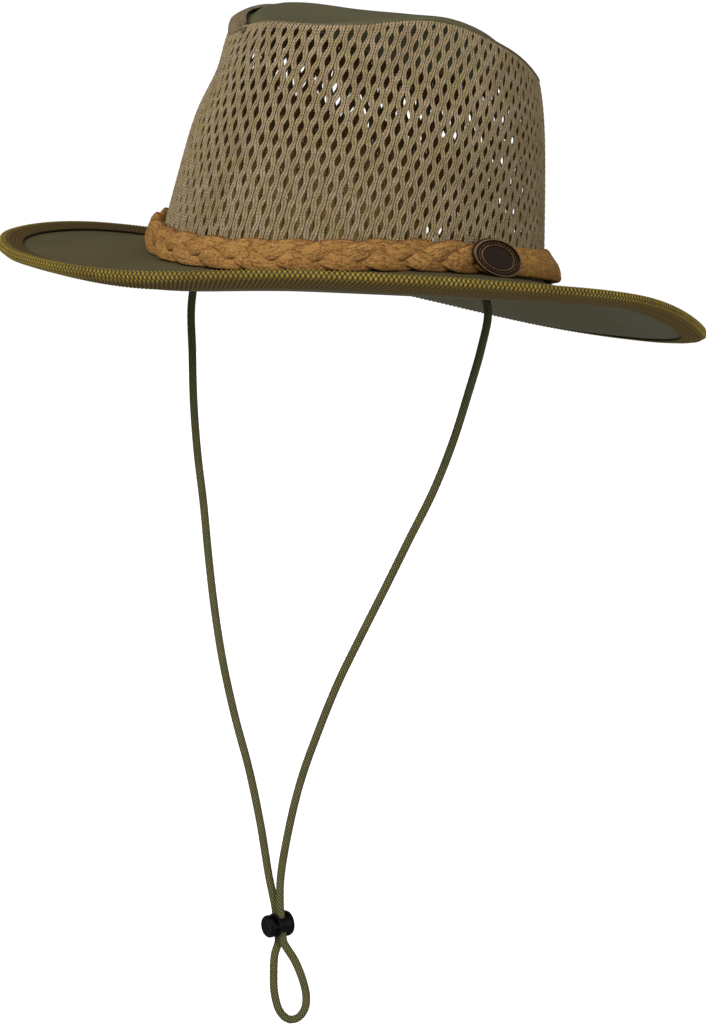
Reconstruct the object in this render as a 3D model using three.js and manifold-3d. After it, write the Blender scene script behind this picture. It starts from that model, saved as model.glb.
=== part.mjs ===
// Sun hat: net crown, canvas top and brim, plaited band, chin cord with a spring lock.
// Millimetres, +Z up. The front of the hat faces -Y and the wearer's left is +X.
// The origin is the middle of the head opening, at the height of the crown's foot.
import * as THREE from 'three';
import { mergeVertices } from 'three/addons/utils/BufferGeometryUtils.js';
import Module from 'manifold-3d';

const wasm = await Module();
wasm.setup();

const GAP = 0.3;

// Head opening and crown wall, as half widths across (X) and along (Y) the head.
const FOOT = { x: 83, y: 103 };
const RIM = { x: 67, y: 85, backShift: 8 };
const NET_WALL = 2;
const SHOULDER = 0.25;
const SHOULDER_POWER = 6;
const PINCH = { depth: 3.5, angles: [50, 310], spread: 25, height: 0.8, reach: 0.15 };

// Brim outline, its canvas and the folded tape on its edge.
const BRIM = { x: 158, y: 177, backShift: 4, cloth: 2 };
const GUTTER_PEAK = 6.75;
const TAPE = { width: 10.5, cloth: 1.3, lip: 1.4, shoulder: 0.9, hem: 0.4, fold: 0.1 };

// The hat changes height round the head. Angles run from the front over the
// wearer's left; heights are in mm and ridgeAt is a share of the way to the seam.
const ROUND = [
  { angle: 0, foot: -8, edge: -12, gutter: 6, seam: 102.4, ridge: 103.5, ridgeAt: 0.75 },
  { angle: 30, foot: -4, edge: -2, gutter: 7, seam: 107, ridge: 109, ridgeAt: 0.8 },
  { angle: 60, foot: 1, edge: 1.8, gutter: 7, seam: 113, ridge: 113.6, ridgeAt: 0.9 },
  { angle: 90, foot: 2, edge: 0.3, gutter: 5, seam: 104.5, ridge: 105.6, ridgeAt: 0.85 },
  { angle: 120, foot: 0, edge: -14, gutter: 4, seam: 92.8, ridge: 104.1, ridgeAt: 0.65 },
  { angle: 150, foot: -3.5, edge: -21.5, gutter: 5, seam: 88, ridge: 111.5, ridgeAt: 0.6 },
  { angle: 180, foot: -6, edge: -21.5, gutter: 6.5, seam: 88, ridge: 115.5, ridgeAt: 0.58 },
  { angle: 210, foot: -5, edge: -14.5, gutter: 5, seam: 90, ridge: 115.5, ridgeAt: 0.6 },
  { angle: 240, foot: -1, edge: -3, gutter: 6, seam: 99, ridge: 115, ridgeAt: 0.68 },
  { angle: 270, foot: 3, edge: 0.3, gutter: 5, seam: 112, ridge: 115, ridgeAt: 0.8 },
  { angle: 300, foot: -1, edge: -5, gutter: 3, seam: 106, ridge: 110, ridgeAt: 0.88 },
  { angle: 330, foot: -7, edge: -12, gutter: 2, seam: 96.5, ridge: 104, ridgeAt: 0.8 },
];
const CREASE_HEIGHT = 101;
const TOP_CLOTH = 1.6;
const RIDGE_FALL = 1.6;

// Net: staggered six-sided holes between a plain foot and a plain top margin.
const NET = { columns: 28, rows: 4, foot: 0.16, top: 0.92, zigzag: 0.3, holeWidth: 0.56, holeHeight: 0.64 };
const COLUMNS = 2 * NET.columns;
const TOP_RINGS = [0, 0.28, 0.56, 0.8, 1];
const BRIM_RINGS = [0, 0.26, 0.52, 0.72];

// Plaited suede band, flat where its ends meet behind the badge.
const BAND = {
  height: 14, thick: 6, edgeThick: 3.3, hem: 0.4, lobes: 32,
  columnsPerLobe: 3, lobeDepth: 1.8, lobeRise: 1.2, flatFrom: 88, flatTo: 124,
};
const BADGE = {
  angle: 82, halfWidth: 16.4, halfHeight: 8.2, tilt: 11, rise: 7.8, thick: 2.2, field: 1.5, rimFrom: 0.82, sides: 24,
};

// Chin cord and its lock. The lock's slide points left and towards the viewer.
const CORD = { diameter: 3.8, sides: 8, steps: 80, forward: -8, drop: 300 };
const STRAND_GAP = 0.3;
const LOCK = {
  centre: [0.2, 0.2, -312.4], turn: -20, lean: 12, leanAxis: [0.574, -0.819, 0],
  diameter: 12.2, bevel: 1.2, mouthWall: 1.1, tip: 0.7, travel: 1, backWall: 0.7, cordRoom: 0.5,
};
const TONGUE = { side: 0.5, thick: 2.4 };
const DRUM_SIDES = 20;
const CAP = { diameter: 10.6, thick: 2.6, bevel: 0.8 };

// How far each strand hangs from the middle of the hat, down from inside the crown.
const STRANDS = [
  { height: 8, right: 77.9, left: 77.9 },
  { height: -2, right: 78.2, left: 78.2 },
  { height: -14, right: 83.2, left: 82.8 },
  { height: -30.2, right: 84.8, left: 81.2 },
  { height: -52.3, right: 81.7, left: 76.4 },
  { height: -75.5, right: 78.2, left: 70.6 },
  { height: -98.6, right: 73.3, left: 62.8 },
  { height: -122.7, right: 66.8, left: 52 },
  { height: -146.9, right: 61, left: 41.3 },
  { height: -171, right: 54.6, left: 30.4 },
  { height: -195.2, right: 46.8, left: 19.9 },
  { height: -219.3, right: 37, left: 11.5 },
  { height: -243.5, right: 25.6, left: 4.4 },
  { height: -267.6, right: 16.2, left: 0.2 },
  { height: -290.7, right: 8.6, left: -1.7 },
];

// The free loop below the lock, in an upright plane turned from the X axis.
const LOOP_TURN = 35;
const LOOP = [
  { along: -0.3, height: -326.9 },
  { along: 0.2, height: -336 },
  { along: 1.6, height: -345.1 },
  { along: 5.2, height: -353.6 },
  { along: 9.8, height: -356.7 },
  { along: 14, height: -355.3 },
  { along: 16.6, height: -350.7 },
  { along: 16.6, height: -345.1 },
  { along: 14.6, height: -338.6 },
  { along: 9.6, height: -329 },
];

const COLOURS = {
  net: 0x8f8362, canvas: 0x5c573c, tape: 0x77702a, suede: 0xae7f45, badge: 0x33221b,
  cord: 0x3a3822, lock: 0x15171a,
};

// A column of the table, carried smoothly round the hat.
function roundValue(angle, column) {
  const step = 360 / ROUND.length;
  const place = THREE.MathUtils.euclideanModulo(angle, 360) / step;
  const row = Math.floor(place);
  const share = place - row;
  const value = (k) => ROUND[(k + ROUND.length) % ROUND.length][column];
  const startSlope = (value(row + 1) - value(row - 1)) / 2;
  const endSlope = (value(row + 2) - value(row)) / 2;
  const square = share * share;
  const cube = square * share;
  return (2 * cube - 3 * square + 1) * value(row) + (cube - 2 * square + share) * startSlope
    + (3 * square - 2 * cube) * value(row + 1) + (cube - square) * endSlope;
}

function heading(angle) {
  const radians = THREE.MathUtils.degToRad(angle);
  return { across: Math.sin(radians), ahead: Math.cos(radians) };
}

function bell(distance, spread) {
  return Math.exp(-((distance / spread) ** 2));
}

// How far the two front pinches draw the crown wall in.
function pinchDepth(angle, share) {
  const around = PINCH.angles.reduce((sum, centre) => {
    const away = THREE.MathUtils.euclideanModulo(angle - centre + 180, 360) - 180;
    return sum + bell(away, PINCH.spread);
  }, 0);
  return PINCH.depth * around * bell(share - PINCH.height, PINCH.reach);
}

function wallFoot(angle) {
  return roundValue(angle, 'foot') + BRIM.cloth / 2 + GAP;
}

// A point of the crown wall: share is 0 at the foot and 1 at the seam, inward is in mm.
function wallPoint(angle, share, inward) {
  const { across, ahead } = heading(angle);
  const lean = (1 - SHOULDER) * share + SHOULDER * share ** SHOULDER_POWER;
  const drawn = inward + pinchDepth(angle, share);
  const x = THREE.MathUtils.lerp(FOOT.x, RIM.x, lean) - drawn;
  const y = THREE.MathUtils.lerp(FOOT.y, RIM.y, lean) - drawn;
  const z = THREE.MathUtils.lerp(wallFoot(angle), roundValue(angle, 'seam'), share);
  return new THREE.Vector3(x * across, RIM.backShift * lean - y * ahead, z);
}

// A point of the brim's middle surface: share is 0 at the head opening and 1 at the edge.
function brimMiddle(angle, share) {
  const { across, ahead } = heading(angle);
  const x = THREE.MathUtils.lerp(FOOT.x - NET_WALL, BRIM.x, share);
  const y = THREE.MathUtils.lerp(FOOT.y - NET_WALL, BRIM.y, share);
  const foot = roundValue(angle, 'foot');
  const line = THREE.MathUtils.lerp(foot, roundValue(angle, 'edge'), share);
  const dip = roundValue(angle, 'gutter') * GUTTER_PEAK * share * share * (1 - share);
  return new THREE.Vector3(x * across, BRIM.backShift * share - y * ahead, line - dip);
}

function brimWidth(angle) {
  const inner = brimMiddle(angle, 0);
  const edge = brimMiddle(angle, 1);
  return Math.hypot(edge.x - inner.x, edge.y - inner.y);
}

// A point beside the brim's middle surface, lifted square to it.
function brimPoint(angle, share, lift) {
  const nudge = 0.01;
  const turn = 0.5;
  const point = brimMiddle(angle, share);
  const out = brimMiddle(angle, share + nudge).sub(brimMiddle(angle, share - nudge));
  const along = brimMiddle(angle + turn, share).sub(brimMiddle(angle - turn, share));
  const up = new THREE.Vector3().crossVectors(out, along).normalize();
  return point.addScaledVector(up, up.z > 0 ? lift : -lift);
}

// A point of the canvas top: share is 0 in the crease and 1 at the seam.
function topPoint(angle, share, lift) {
  const { across, ahead } = heading(angle);
  const ridgeAt = roundValue(angle, 'ridgeAt');
  const ridge = roundValue(angle, 'ridge');
  const seam = roundValue(angle, 'seam');
  const rise = 0.5 - 0.5 * Math.cos(Math.PI * Math.min(share / ridgeAt, 1));
  const fall = Math.max((share - ridgeAt) / (1 - ridgeAt), 0) ** RIDGE_FALL;
  const z = CREASE_HEIGHT + (ridge - CREASE_HEIGHT) * rise - (ridge - seam) * fall;
  return new THREE.Vector3(RIM.x * share * across, RIM.backShift - RIM.y * share * ahead, z + GAP + lift);
}

function signedVolume(geometry) {
  const position = geometry.getAttribute('position');
  const index = geometry.getIndex();
  const [a, b, c] = [new THREE.Vector3(), new THREE.Vector3(), new THREE.Vector3()];
  let six = 0;
  for (let i = 0; i < index.count; i += 3) {
    a.fromBufferAttribute(position, index.getX(i));
    b.fromBufferAttribute(position, index.getX(i + 1));
    c.fromBufferAttribute(position, index.getX(i + 2));
    six += a.dot(b.cross(c));
  }
  return six / 6;
}

// Merge shared corners, drop empty triangles and turn every face outwards.
function closedGeometry(geometry) {
  geometry.deleteAttribute('normal');
  geometry.deleteAttribute('uv');
  const merged = mergeVertices(geometry, 1e-4);
  const corners = Array.from(merged.getIndex().array);
  const flip = signedVolume(merged) < 0;
  const kept = [];
  for (let i = 0; i < corners.length; i += 3) {
    const [a, b, c] = corners.slice(i, i + 3);
    if (a !== b && b !== c && c !== a) kept.push(...(flip ? [a, c, b] : [a, b, c]));
  }
  merged.setIndex(kept);
  merged.computeVertexNormals();
  return merged;
}

// Turn a profile of [radius, height] round the hat, then let place(angle, radius, height)
// say where each vertex goes. A profile off the axis is turned at the radius FAR.
const FAR = 100;
function placedLathe(profile, columns, place) {
  const points = profile.map(([radius, height]) => new THREE.Vector2(radius, height));
  const geometry = new THREE.LatheGeometry(points, columns);
  const position = geometry.getAttribute('position');
  for (let i = 0; i < position.count; i += 1) {
    const angle = THREE.MathUtils.radToDeg(Math.atan2(position.getX(i), position.getZ(i)));
    const radius = Math.hypot(position.getX(i), position.getZ(i));
    const point = place(angle, radius, position.getY(i));
    position.setXYZ(i, point.x, point.y, point.z);
  }
  return closedGeometry(geometry);
}

// Net wall: six-sided cells like a stretched honeycomb, each with a hole cut through.
function netGeometry() {
  const corners = [];
  const faces = [];
  const step = 360 / COLUMNS;
  const rowHeight = (NET.top - NET.foot) / NET.rows;
  const addCorner = (column, share, side) => {
    const point = wallPoint(column * step, share, side * NET_WALL);
    corners.push(point.x, point.y, point.z);
    return corners.length / 3 - 1;
  };
  const addQuad = (a, b, c, d) => faces.push(a, b, c, a, c, d);
  const boundaryShare = (line, column) => {
    if (line < 0) return 0;
    if (line > NET.rows) return 1;
    const side = (column + line) % 2 === 0 ? -1 : 1;
    return NET.foot + (line + side * NET.zigzag) * rowHeight;
  };
  const boundary = [0, 1].map((side) => {
    const lines = [];
    for (let line = -1; line <= NET.rows + 1; line += 1) {
      const row = [];
      for (let column = 0; column < COLUMNS; column += 1) {
        row.push(addCorner(column, boundaryShare(line, column), side));
      }
      lines.push(row);
    }
    return (line, column) => lines[line + 1][(column + COLUMNS) % COLUMNS];
  });
  const addCell = (row, column) => {
    const middle = NET.foot + (row + 0.5) * rowHeight;
    const ring = [[0, row], [1, row], [1, row + 1], [0, row + 1], [-1, row + 1], [-1, row]];
    const hole = [0, 1].map((side) => ring.map(([offset, line]) => {
      const share = boundaryShare(line, column + offset);
      const height = middle + (share - middle) * NET.holeHeight;
      return addCorner(column + offset * NET.holeWidth, height, side);
    }));
    ring.forEach(([offset, line], i) => {
      const j = (i + 1) % ring.length;
      const [nextOffset, nextLine] = ring[j];
      const outer = [boundary[0](line, column + offset), boundary[0](nextLine, column + nextOffset)];
      const inner = [boundary[1](line, column + offset), boundary[1](nextLine, column + nextOffset)];
      addQuad(outer[0], outer[1], hole[0][j], hole[0][i]);
      addQuad(inner[1], inner[0], hole[1][i], hole[1][j]);
      addQuad(hole[0][i], hole[0][j], hole[1][j], hole[1][i]);
    });
  };
  for (let row = 0; row < NET.rows; row += 1) {
    for (let column = row % 2; column < COLUMNS; column += 2) addCell(row, column);
  }
  for (let column = 0; column < COLUMNS; column += 1) {
    const next = column + 1;
    for (const line of [-1, NET.rows]) {
      const [outer, inner] = boundary;
      addQuad(outer(line, column), outer(line, next), outer(line + 1, next), outer(line + 1, column));
      addQuad(inner(line, next), inner(line, column), inner(line + 1, column), inner(line + 1, next));
    }
    const [outer, inner] = boundary;
    const top = NET.rows + 1;
    addQuad(inner(-1, column), inner(-1, next), outer(-1, next), outer(-1, column));
    addQuad(outer(top, column), outer(top, next), inner(top, next), inner(top, column));
  }
  const geometry = new THREE.BufferGeometry();
  geometry.setAttribute('position', new THREE.Float32BufferAttribute(corners, 3));
  geometry.setIndex(faces);
  return closedGeometry(geometry);
}

function topGeometry() {
  const under = TOP_RINGS.map((share) => [share, 0]);
  const over = TOP_RINGS.map((share) => [share, TOP_CLOTH]).reverse();
  return placedLathe([...under, ...over], COLUMNS, topPoint);
}

function tapeShare(angle, inset) {
  return 1 - inset / brimWidth(angle);
}

// The brim's cloth runs into the fold of the tape and stops short of its edge.
function brimGeometry() {
  const half = BRIM.cloth / 2;
  const insets = [TAPE.width, TAPE.width / 2, TAPE.fold + GAP];
  const rings = [...BRIM_RINGS.map((share) => () => share),
    ...insets.map((inset) => (angle) => tapeShare(angle, inset))];
  const over = rings.map((ring, i) => [FAR + i, half]);
  const under = rings.map((ring, i) => [FAR + i, -half]).reverse();
  const place = (angle, radius, lift) => brimPoint(angle, rings[Math.round(radius - FAR)](angle), lift);
  return placedLathe([...over, ...under, over[0]], COLUMNS, place);
}

// The tape is folded over the brim's edge: rows of inset from the edge and lift.
function tapeGeometry() {
  const inside = BRIM.cloth / 2 + GAP;
  const outside = inside + TAPE.cloth;
  const upperFace = [
    { inset: TAPE.width / 2, lift: inside },
    { inset: TAPE.width, lift: inside },
    { inset: TAPE.width, lift: outside - TAPE.hem },
    { inset: TAPE.width / 2, lift: outside },
    { inset: TAPE.shoulder, lift: outside },
  ];
  const section = [
    { inset: TAPE.fold, lift: inside },
    ...upperFace,
    { inset: -TAPE.lip, lift: 0 },
    ...upperFace.map(({ inset, lift }) => ({ inset, lift: -lift })).reverse(),
    { inset: TAPE.fold, lift: -inside },
  ];
  const profile = section.map(({ inset, lift }) => [FAR - inset, lift]);
  const place = (angle, radius, lift) => brimPoint(angle, tapeShare(angle, FAR - radius), lift);
  return placedLathe([...profile, profile[0]], COLUMNS, place);
}

// A point outside the crown wall: out and up are in mm from the wall and its foot.
function besideWall(angle, out, up) {
  const wallHeight = roundValue(angle, 'seam') - wallFoot(angle);
  return wallPoint(angle, up / wallHeight, -out);
}

function isFlatBand(angle) {
  const turned = THREE.MathUtils.euclideanModulo(angle, 360);
  return turned > BAND.flatFrom && turned < BAND.flatTo;
}

// The plait swells and sinks along the band, its two edges by turns.
function bandGeometry() {
  const top = BAND.height;
  const profile = [
    [FAR, BAND.hem], [FAR + BAND.edgeThick, 0], [FAR + BAND.thick, top * 0.3], [FAR + BAND.thick, top * 0.7],
    [FAR + BAND.edgeThick, top], [FAR, top - BAND.hem], [FAR, BAND.hem],
  ];
  const place = (angle, radius, up) => {
    const isUpper = up > top / 2;
    const wave = Math.cos(THREE.MathUtils.degToRad(angle) * BAND.lobes) * (isUpper ? 1 : -1);
    const swell = isFlatBand(angle) ? 0 : wave;
    const share = (radius - FAR) / BAND.thick;
    const out = GAP + (radius - FAR) + (swell * BAND.lobeDepth * share) / 2;
    const isEdge = share > 0 && share < 1;
    const lift = isEdge && isUpper ? Math.max(swell, 0) * BAND.lobeRise * share : 0;
    return besideWall(angle, out, GAP + up + lift);
  };
  return placedLathe(profile, BAND.columnsPerLobe * BAND.lobes, place);
}

function badgeGeometry() {
  const profile = [
    [0, 0], [1, 0], [1, BADGE.field], [0.95, BADGE.thick], [0.87, BADGE.thick],
    [BADGE.rimFrom, BADGE.field], [0, BADGE.field],
  ];
  const tilt = THREE.MathUtils.degToRad(BADGE.tilt);
  const place = (angle, radius, lift) => {
    const { across, ahead } = heading(angle);
    const along = radius * BADGE.halfWidth * across;
    const up = radius * BADGE.halfHeight * ahead;
    const sideways = along * Math.cos(tilt) + up * Math.sin(tilt);
    const upright = up * Math.cos(tilt) - along * Math.sin(tilt);
    const turn = THREE.MathUtils.radToDeg(sideways / FOOT.y);
    const out = 2 * GAP + BAND.thick + BAND.lobeDepth / 2 + lift;
    return besideWall(BADGE.angle + turn, out, BADGE.rise + upright);
  };
  return placedLathe(profile, BADGE.sides, place);
}

// The lock's own frame: X across both strands, -Y out of the slide, Z up the strands.
function lockRotation() {
  const turn = new THREE.Quaternion().setFromAxisAngle(
    new THREE.Vector3(0, 0, 1), THREE.MathUtils.degToRad(LOCK.turn));
  const lean = new THREE.Quaternion().setFromAxisAngle(
    new THREE.Vector3(...LOCK.leanAxis).normalize(), THREE.MathUtils.degToRad(LOCK.lean));
  return lean.multiply(turn);
}

function lockPoint(x, y, z) {
  return new THREE.Vector3(x, y, z).applyQuaternion(lockRotation()).add(new THREE.Vector3(...LOCK.centre));
}

function strandPoint(x, height) {
  return new THREE.Vector3(x, CORD.forward * (1 + height / CORD.drop), height);
}

function cordGeometry() {
  const strand = (CORD.diameter + STRAND_GAP) / 2;
  const above = LOCK.diameter / 2 + 2;
  const heights = [above, above / 2, 0, -above / 2, -above];
  const through = (side) => heights.map((z) => lockPoint(side * strand, 0, z));
  const plane = heading(90 - LOOP_TURN);
  const loop = LOOP.map(({ along, height }) => new THREE.Vector3(
    along * plane.across, along * plane.ahead, height));
  const route = [
    ...STRANDS.map(({ height, right }) => strandPoint(-right, height)),
    ...through(-1), ...loop, ...through(1).reverse(),
    ...STRANDS.map(({ height, left }) => strandPoint(left, height)).reverse(),
  ];
  const curve = new THREE.CatmullRomCurve3(route, false, 'centripetal');
  curve.arcLengthDivisions = 2000;
  const section = new THREE.Shape();
  for (let i = 0; i < CORD.sides; i += 1) {
    const angle = (2 * Math.PI * i) / CORD.sides;
    const x = (CORD.diameter / 2) * Math.cos(angle);
    const y = (CORD.diameter / 2) * Math.sin(angle);
    if (i === 0) section.moveTo(x, y);
    else section.lineTo(x, y);
  }
  section.closePath();
  const geometry = new THREE.ExtrudeGeometry(section, { steps: CORD.steps, extrudePath: curve });
  return closedGeometry(geometry);
}

function toSolid(geometry) {
  const clean = closedGeometry(geometry.index ? geometry : mergeVertices(geometry));
  return new wasm.Manifold(new wasm.Mesh({
    numProp: 3,
    vertProperties: Float32Array.from(clean.getAttribute('position').array),
    triVerts: Uint32Array.from(clean.getIndex().array),
  }));
}

function fromSolid(solid) {
  const mesh = solid.getMesh();
  const geometry = new THREE.BufferGeometry();
  geometry.setAttribute('position', new THREE.BufferAttribute(mesh.vertProperties, 3));
  geometry.setIndex(new THREE.BufferAttribute(mesh.triVerts, 1));
  geometry.computeVertexNormals();
  return geometry;
}

function boxSolid(width, depth, height, x, y, z) {
  return toSolid(new THREE.BoxGeometry(width, depth, height).translate(x, y, z));
}

// A round piece along the slide, from yFront to yBack, with bevelled ends.
function drumSolid(diameter, yFront, yBack, bevel) {
  const radius = diameter / 2;
  const profile = [
    [0, yFront], [radius - bevel, yFront], [radius, yFront + bevel], [radius, yBack - bevel],
    [radius - bevel, yBack], [0, yBack],
  ].map(([x, y]) => new THREE.Vector2(x, y));
  return toSolid(new THREE.LatheGeometry(profile, DRUM_SIDES));
}

const PAIR = {
  width: 2 * CORD.diameter + STRAND_GAP + 2 * LOCK.cordRoom,
  depth: CORD.diameter + 2 * LOCK.cordRoom,
};
const SLOT_FRONT = -PAIR.depth / 2;
const SLOT_BACK = PAIR.depth / 2;
const MOUTH = SLOT_FRONT - LOCK.mouthWall;
const TIP_END = SLOT_BACK + LOCK.tip;
const POCKET_END = TIP_END + LOCK.travel + GAP;
const TONGUE_WIDTH = PAIR.width + 2 * TONGUE.side;

function lockBodyGeometry() {
  const back = POCKET_END + LOCK.backWall;
  const reach = 2 * LOCK.diameter;
  const drum = drumSolid(LOCK.diameter, MOUTH, back, LOCK.bevel);
  const pocketFront = MOUTH - LOCK.bevel;
  const pocket = boxSolid(TONGUE_WIDTH + 2 * GAP, POCKET_END - pocketFront, TONGUE.thick + 2 * GAP,
    0, (POCKET_END + pocketFront) / 2, 0);
  const cordSlot = boxSolid(PAIR.width, PAIR.depth, reach, 0, 0, 0);
  return fromSolid(drum.subtract(pocket).subtract(cordSlot));
}

function lockSlideGeometry() {
  const capBack = MOUTH - LOCK.travel - GAP;
  const cap = drumSolid(CAP.diameter, capBack - CAP.thick, capBack, CAP.bevel);
  const rootFront = capBack - CAP.thick / 2;
  const tongue = boxSolid(TONGUE_WIDTH, TIP_END - rootFront, TONGUE.thick, 0, (TIP_END + rootFront) / 2, 0);
  const windowFront = SLOT_FRONT - LOCK.travel;
  const window = boxSolid(PAIR.width, SLOT_BACK - windowFront, 2 * TONGUE.thick,
    0, (SLOT_BACK + windowFront) / 2, 0);
  return fromSolid(cap.add(tongue).subtract(window));
}

function material(color, roughness) {
  return new THREE.MeshStandardMaterial({ color, roughness, metalness: 0 });
}

function addPiece(parent, name, geometry, surface) {
  const mesh = new THREE.Mesh(geometry, surface);
  mesh.name = name;
  parent.add(mesh);
}

const hat = new THREE.Group();
hat.name = 'sun_hat';
addPiece(hat, 'crown_net', netGeometry(), material(COLOURS.net, 0.9));
addPiece(hat, 'crown_top', topGeometry(), material(COLOURS.canvas, 0.85));
addPiece(hat, 'brim', brimGeometry(), material(COLOURS.canvas, 0.85));
addPiece(hat, 'brim_tape', tapeGeometry(), material(COLOURS.tape, 0.7));
addPiece(hat, 'hat_band', bandGeometry(), material(COLOURS.suede, 0.95));
addPiece(hat, 'badge', badgeGeometry(), material(COLOURS.badge, 0.45));
addPiece(hat, 'chin_cord', cordGeometry(), material(COLOURS.cord, 0.8));

const lock = new THREE.Group();
lock.position.set(...LOCK.centre);
lock.quaternion.copy(lockRotation());
addPiece(lock, 'lock_body', lockBodyGeometry(), material(COLOURS.lock, 0.5));
addPiece(lock, 'lock_slide', lockSlideGeometry(), material(COLOURS.lock, 0.5));
hat.add(lock);

export default hat;
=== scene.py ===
# %% [markdown]
# A sun hat, dressed for its portrait.
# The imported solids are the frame: plain walls with true sizes. Each cell below gives one of
# them the surface that it has on the real hat: knitted yarn, dull canvas, braided tape,
# plaited suede, a pressed leather badge, a braided cord and a moulded cord lock.
# Everything is in metres, with the front of the hat towards -Y and the wearer's left at +X.

# %% Load the frame
import math
import bmesh
import bpy
import numpy as np
from mathutils import Matrix, Vector, noise


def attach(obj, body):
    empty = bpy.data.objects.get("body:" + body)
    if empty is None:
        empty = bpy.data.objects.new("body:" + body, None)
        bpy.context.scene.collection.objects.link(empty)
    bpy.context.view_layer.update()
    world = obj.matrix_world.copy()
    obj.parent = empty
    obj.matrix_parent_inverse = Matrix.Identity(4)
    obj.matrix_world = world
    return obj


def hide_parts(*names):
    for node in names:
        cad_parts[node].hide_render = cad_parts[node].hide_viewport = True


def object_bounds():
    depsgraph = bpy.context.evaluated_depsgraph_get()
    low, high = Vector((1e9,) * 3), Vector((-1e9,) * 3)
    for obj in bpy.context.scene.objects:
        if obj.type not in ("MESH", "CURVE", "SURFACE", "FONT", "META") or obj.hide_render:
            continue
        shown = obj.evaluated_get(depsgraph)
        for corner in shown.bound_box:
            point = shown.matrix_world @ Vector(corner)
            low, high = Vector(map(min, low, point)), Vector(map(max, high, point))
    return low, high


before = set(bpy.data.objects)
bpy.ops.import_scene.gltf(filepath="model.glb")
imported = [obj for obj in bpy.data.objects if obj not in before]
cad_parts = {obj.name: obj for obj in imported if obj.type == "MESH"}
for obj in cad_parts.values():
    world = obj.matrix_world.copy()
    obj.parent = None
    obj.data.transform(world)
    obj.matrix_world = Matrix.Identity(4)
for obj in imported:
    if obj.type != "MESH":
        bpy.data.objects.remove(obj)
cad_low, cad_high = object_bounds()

MM = 0.001
scene = bpy.context.scene

# %% [markdown]
# The camera comes first, because it decides how much detail is worth making. The hat is seen
# from its front left corner, almost level, and it hangs a little askew in the picture: the
# camera is rolled for that, instead of tilting the hat in its own frame.

# %% Camera
IMAGE_WIDTH = 706
IMAGE_HEIGHT = 1024
VIEW_TURN = math.radians(35)
VIEW_RISE = math.radians(1.9)
VIEW_ROLL = math.radians(6.4)
VIEW_DISTANCE = 2400 * MM
PIXELS_PER_METRE = 2153
HAT_PIXEL = (353, 261.6)
SENSOR = 36

pull_back = Vector((
    math.sin(VIEW_TURN) * math.cos(VIEW_RISE),
    -math.cos(VIEW_TURN) * math.cos(VIEW_RISE),
    math.sin(VIEW_RISE),
))
level_right = Vector((math.cos(VIEW_TURN), math.sin(VIEW_TURN), 0))
level_up = pull_back.cross(level_right)
picture_right = level_right * math.cos(VIEW_ROLL) + level_up * math.sin(VIEW_ROLL)
picture_up = level_up * math.cos(VIEW_ROLL) - level_right * math.sin(VIEW_ROLL)
focal_pixels = PIXELS_PER_METRE * VIEW_DISTANCE
tilt = math.atan((IMAGE_HEIGHT / 2 - HAT_PIXEL[1]) / focal_pixels)

camera_data = bpy.data.cameras.new("portrait")
camera_data.lens = focal_pixels / IMAGE_HEIGHT * SENSOR
camera_data.sensor_width = SENSOR
camera = bpy.data.objects.new("portrait", camera_data)
scene.collection.objects.link(camera)
facing = Matrix((picture_right, picture_up, pull_back)).transposed()
camera.matrix_world = (
    Matrix.Translation(pull_back * VIEW_DISTANCE)
    @ facing.to_4x4()
    @ Matrix.Rotation(-tilt, 4, "X")
)
scene.camera = camera
scene.view_settings.view_transform = "Standard"
print("lens", round(camera_data.lens, 1), "tilted down", round(math.degrees(tilt), 2))

# %% [markdown]
# Almost every piece of a hat is a sheet or a tube that runs round the head. Such a piece could
# be pulled into shape by hand, but it would have to be pulled again for each change of size. So
# one helper makes them all: Blender's own grid operator makes the quads, and a placing function
# puts each corner of the grid on the hat. Where the sheet meets itself, doubles are merged.

# %% Wrapped sheets
JOIN = 0.002 * MM


def finish_piece(bm, name, smooth=True):
    """Turn a bmesh into a linked object at the origin."""
    mesh = bpy.data.meshes.new(name)
    for face in bm.faces:
        face.smooth = smooth
    bm.to_mesh(mesh)
    bm.free()
    piece = bpy.data.objects.new(name, mesh)
    scene.collection.objects.link(piece)
    return piece


def grid_bmesh(columns, rows):
    """A unit grid of quads, from 0 to 1 along X and along Y, with its own UV map."""
    bm = bmesh.new()
    bm.loops.layers.uv.new("wrap")
    bmesh.ops.create_grid(bm, x_segments=columns, y_segments=rows, size=1, calc_uvs=True)
    low = Vector((min(v.co.x for v in bm.verts), min(v.co.y for v in bm.verts), 0))
    wide = -2 * low.x
    for vert in bm.verts:
        vert.co = (vert.co - low) / wide
    return bm


def wrapped(name, columns, rows, place, patch=None):
    """A grid whose corner (u, v) goes to place(u, v). patch(v) gives a face's material slot."""
    bm = grid_bmesh(columns, rows)
    if patch:
        for face in bm.faces:
            face.material_index = patch(face.calc_center_median().y)
    for vert in bm.verts:
        vert.co = place(vert.co.x, vert.co.y)
    bmesh.ops.remove_doubles(bm, verts=bm.verts, dist=JOIN)
    bmesh.ops.recalc_face_normals(bm, faces=bm.faces)
    return finish_piece(bm, name)


def size_uv(piece, wide, high):
    """Scale a piece's UV map, so that one unit of it is one metre of cloth."""
    layer = piece.data.uv_layers[0].data
    values = np.empty(len(layer) * 2, dtype=np.float32)
    layer.foreach_get("uv", values)
    values[0::2] *= wide
    values[1::2] *= high
    layer.foreach_set("uv", values)


def dress(piece, *materials):
    for material in materials:
        piece.data.materials.append(material)


def report(piece):
    triangles = sum(len(polygon.vertices) - 2 for polygon in piece.data.polygons)
    print(piece.name, "triangles", triangles)


def close_ends(piece):
    """Fill the open ends of a tube."""
    bm = bmesh.new()
    bm.from_mesh(piece.data)
    bmesh.ops.holes_fill(bm, edges=[edge for edge in bm.edges if edge.is_boundary])
    bm.to_mesh(piece.data)
    bm.free()


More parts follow.
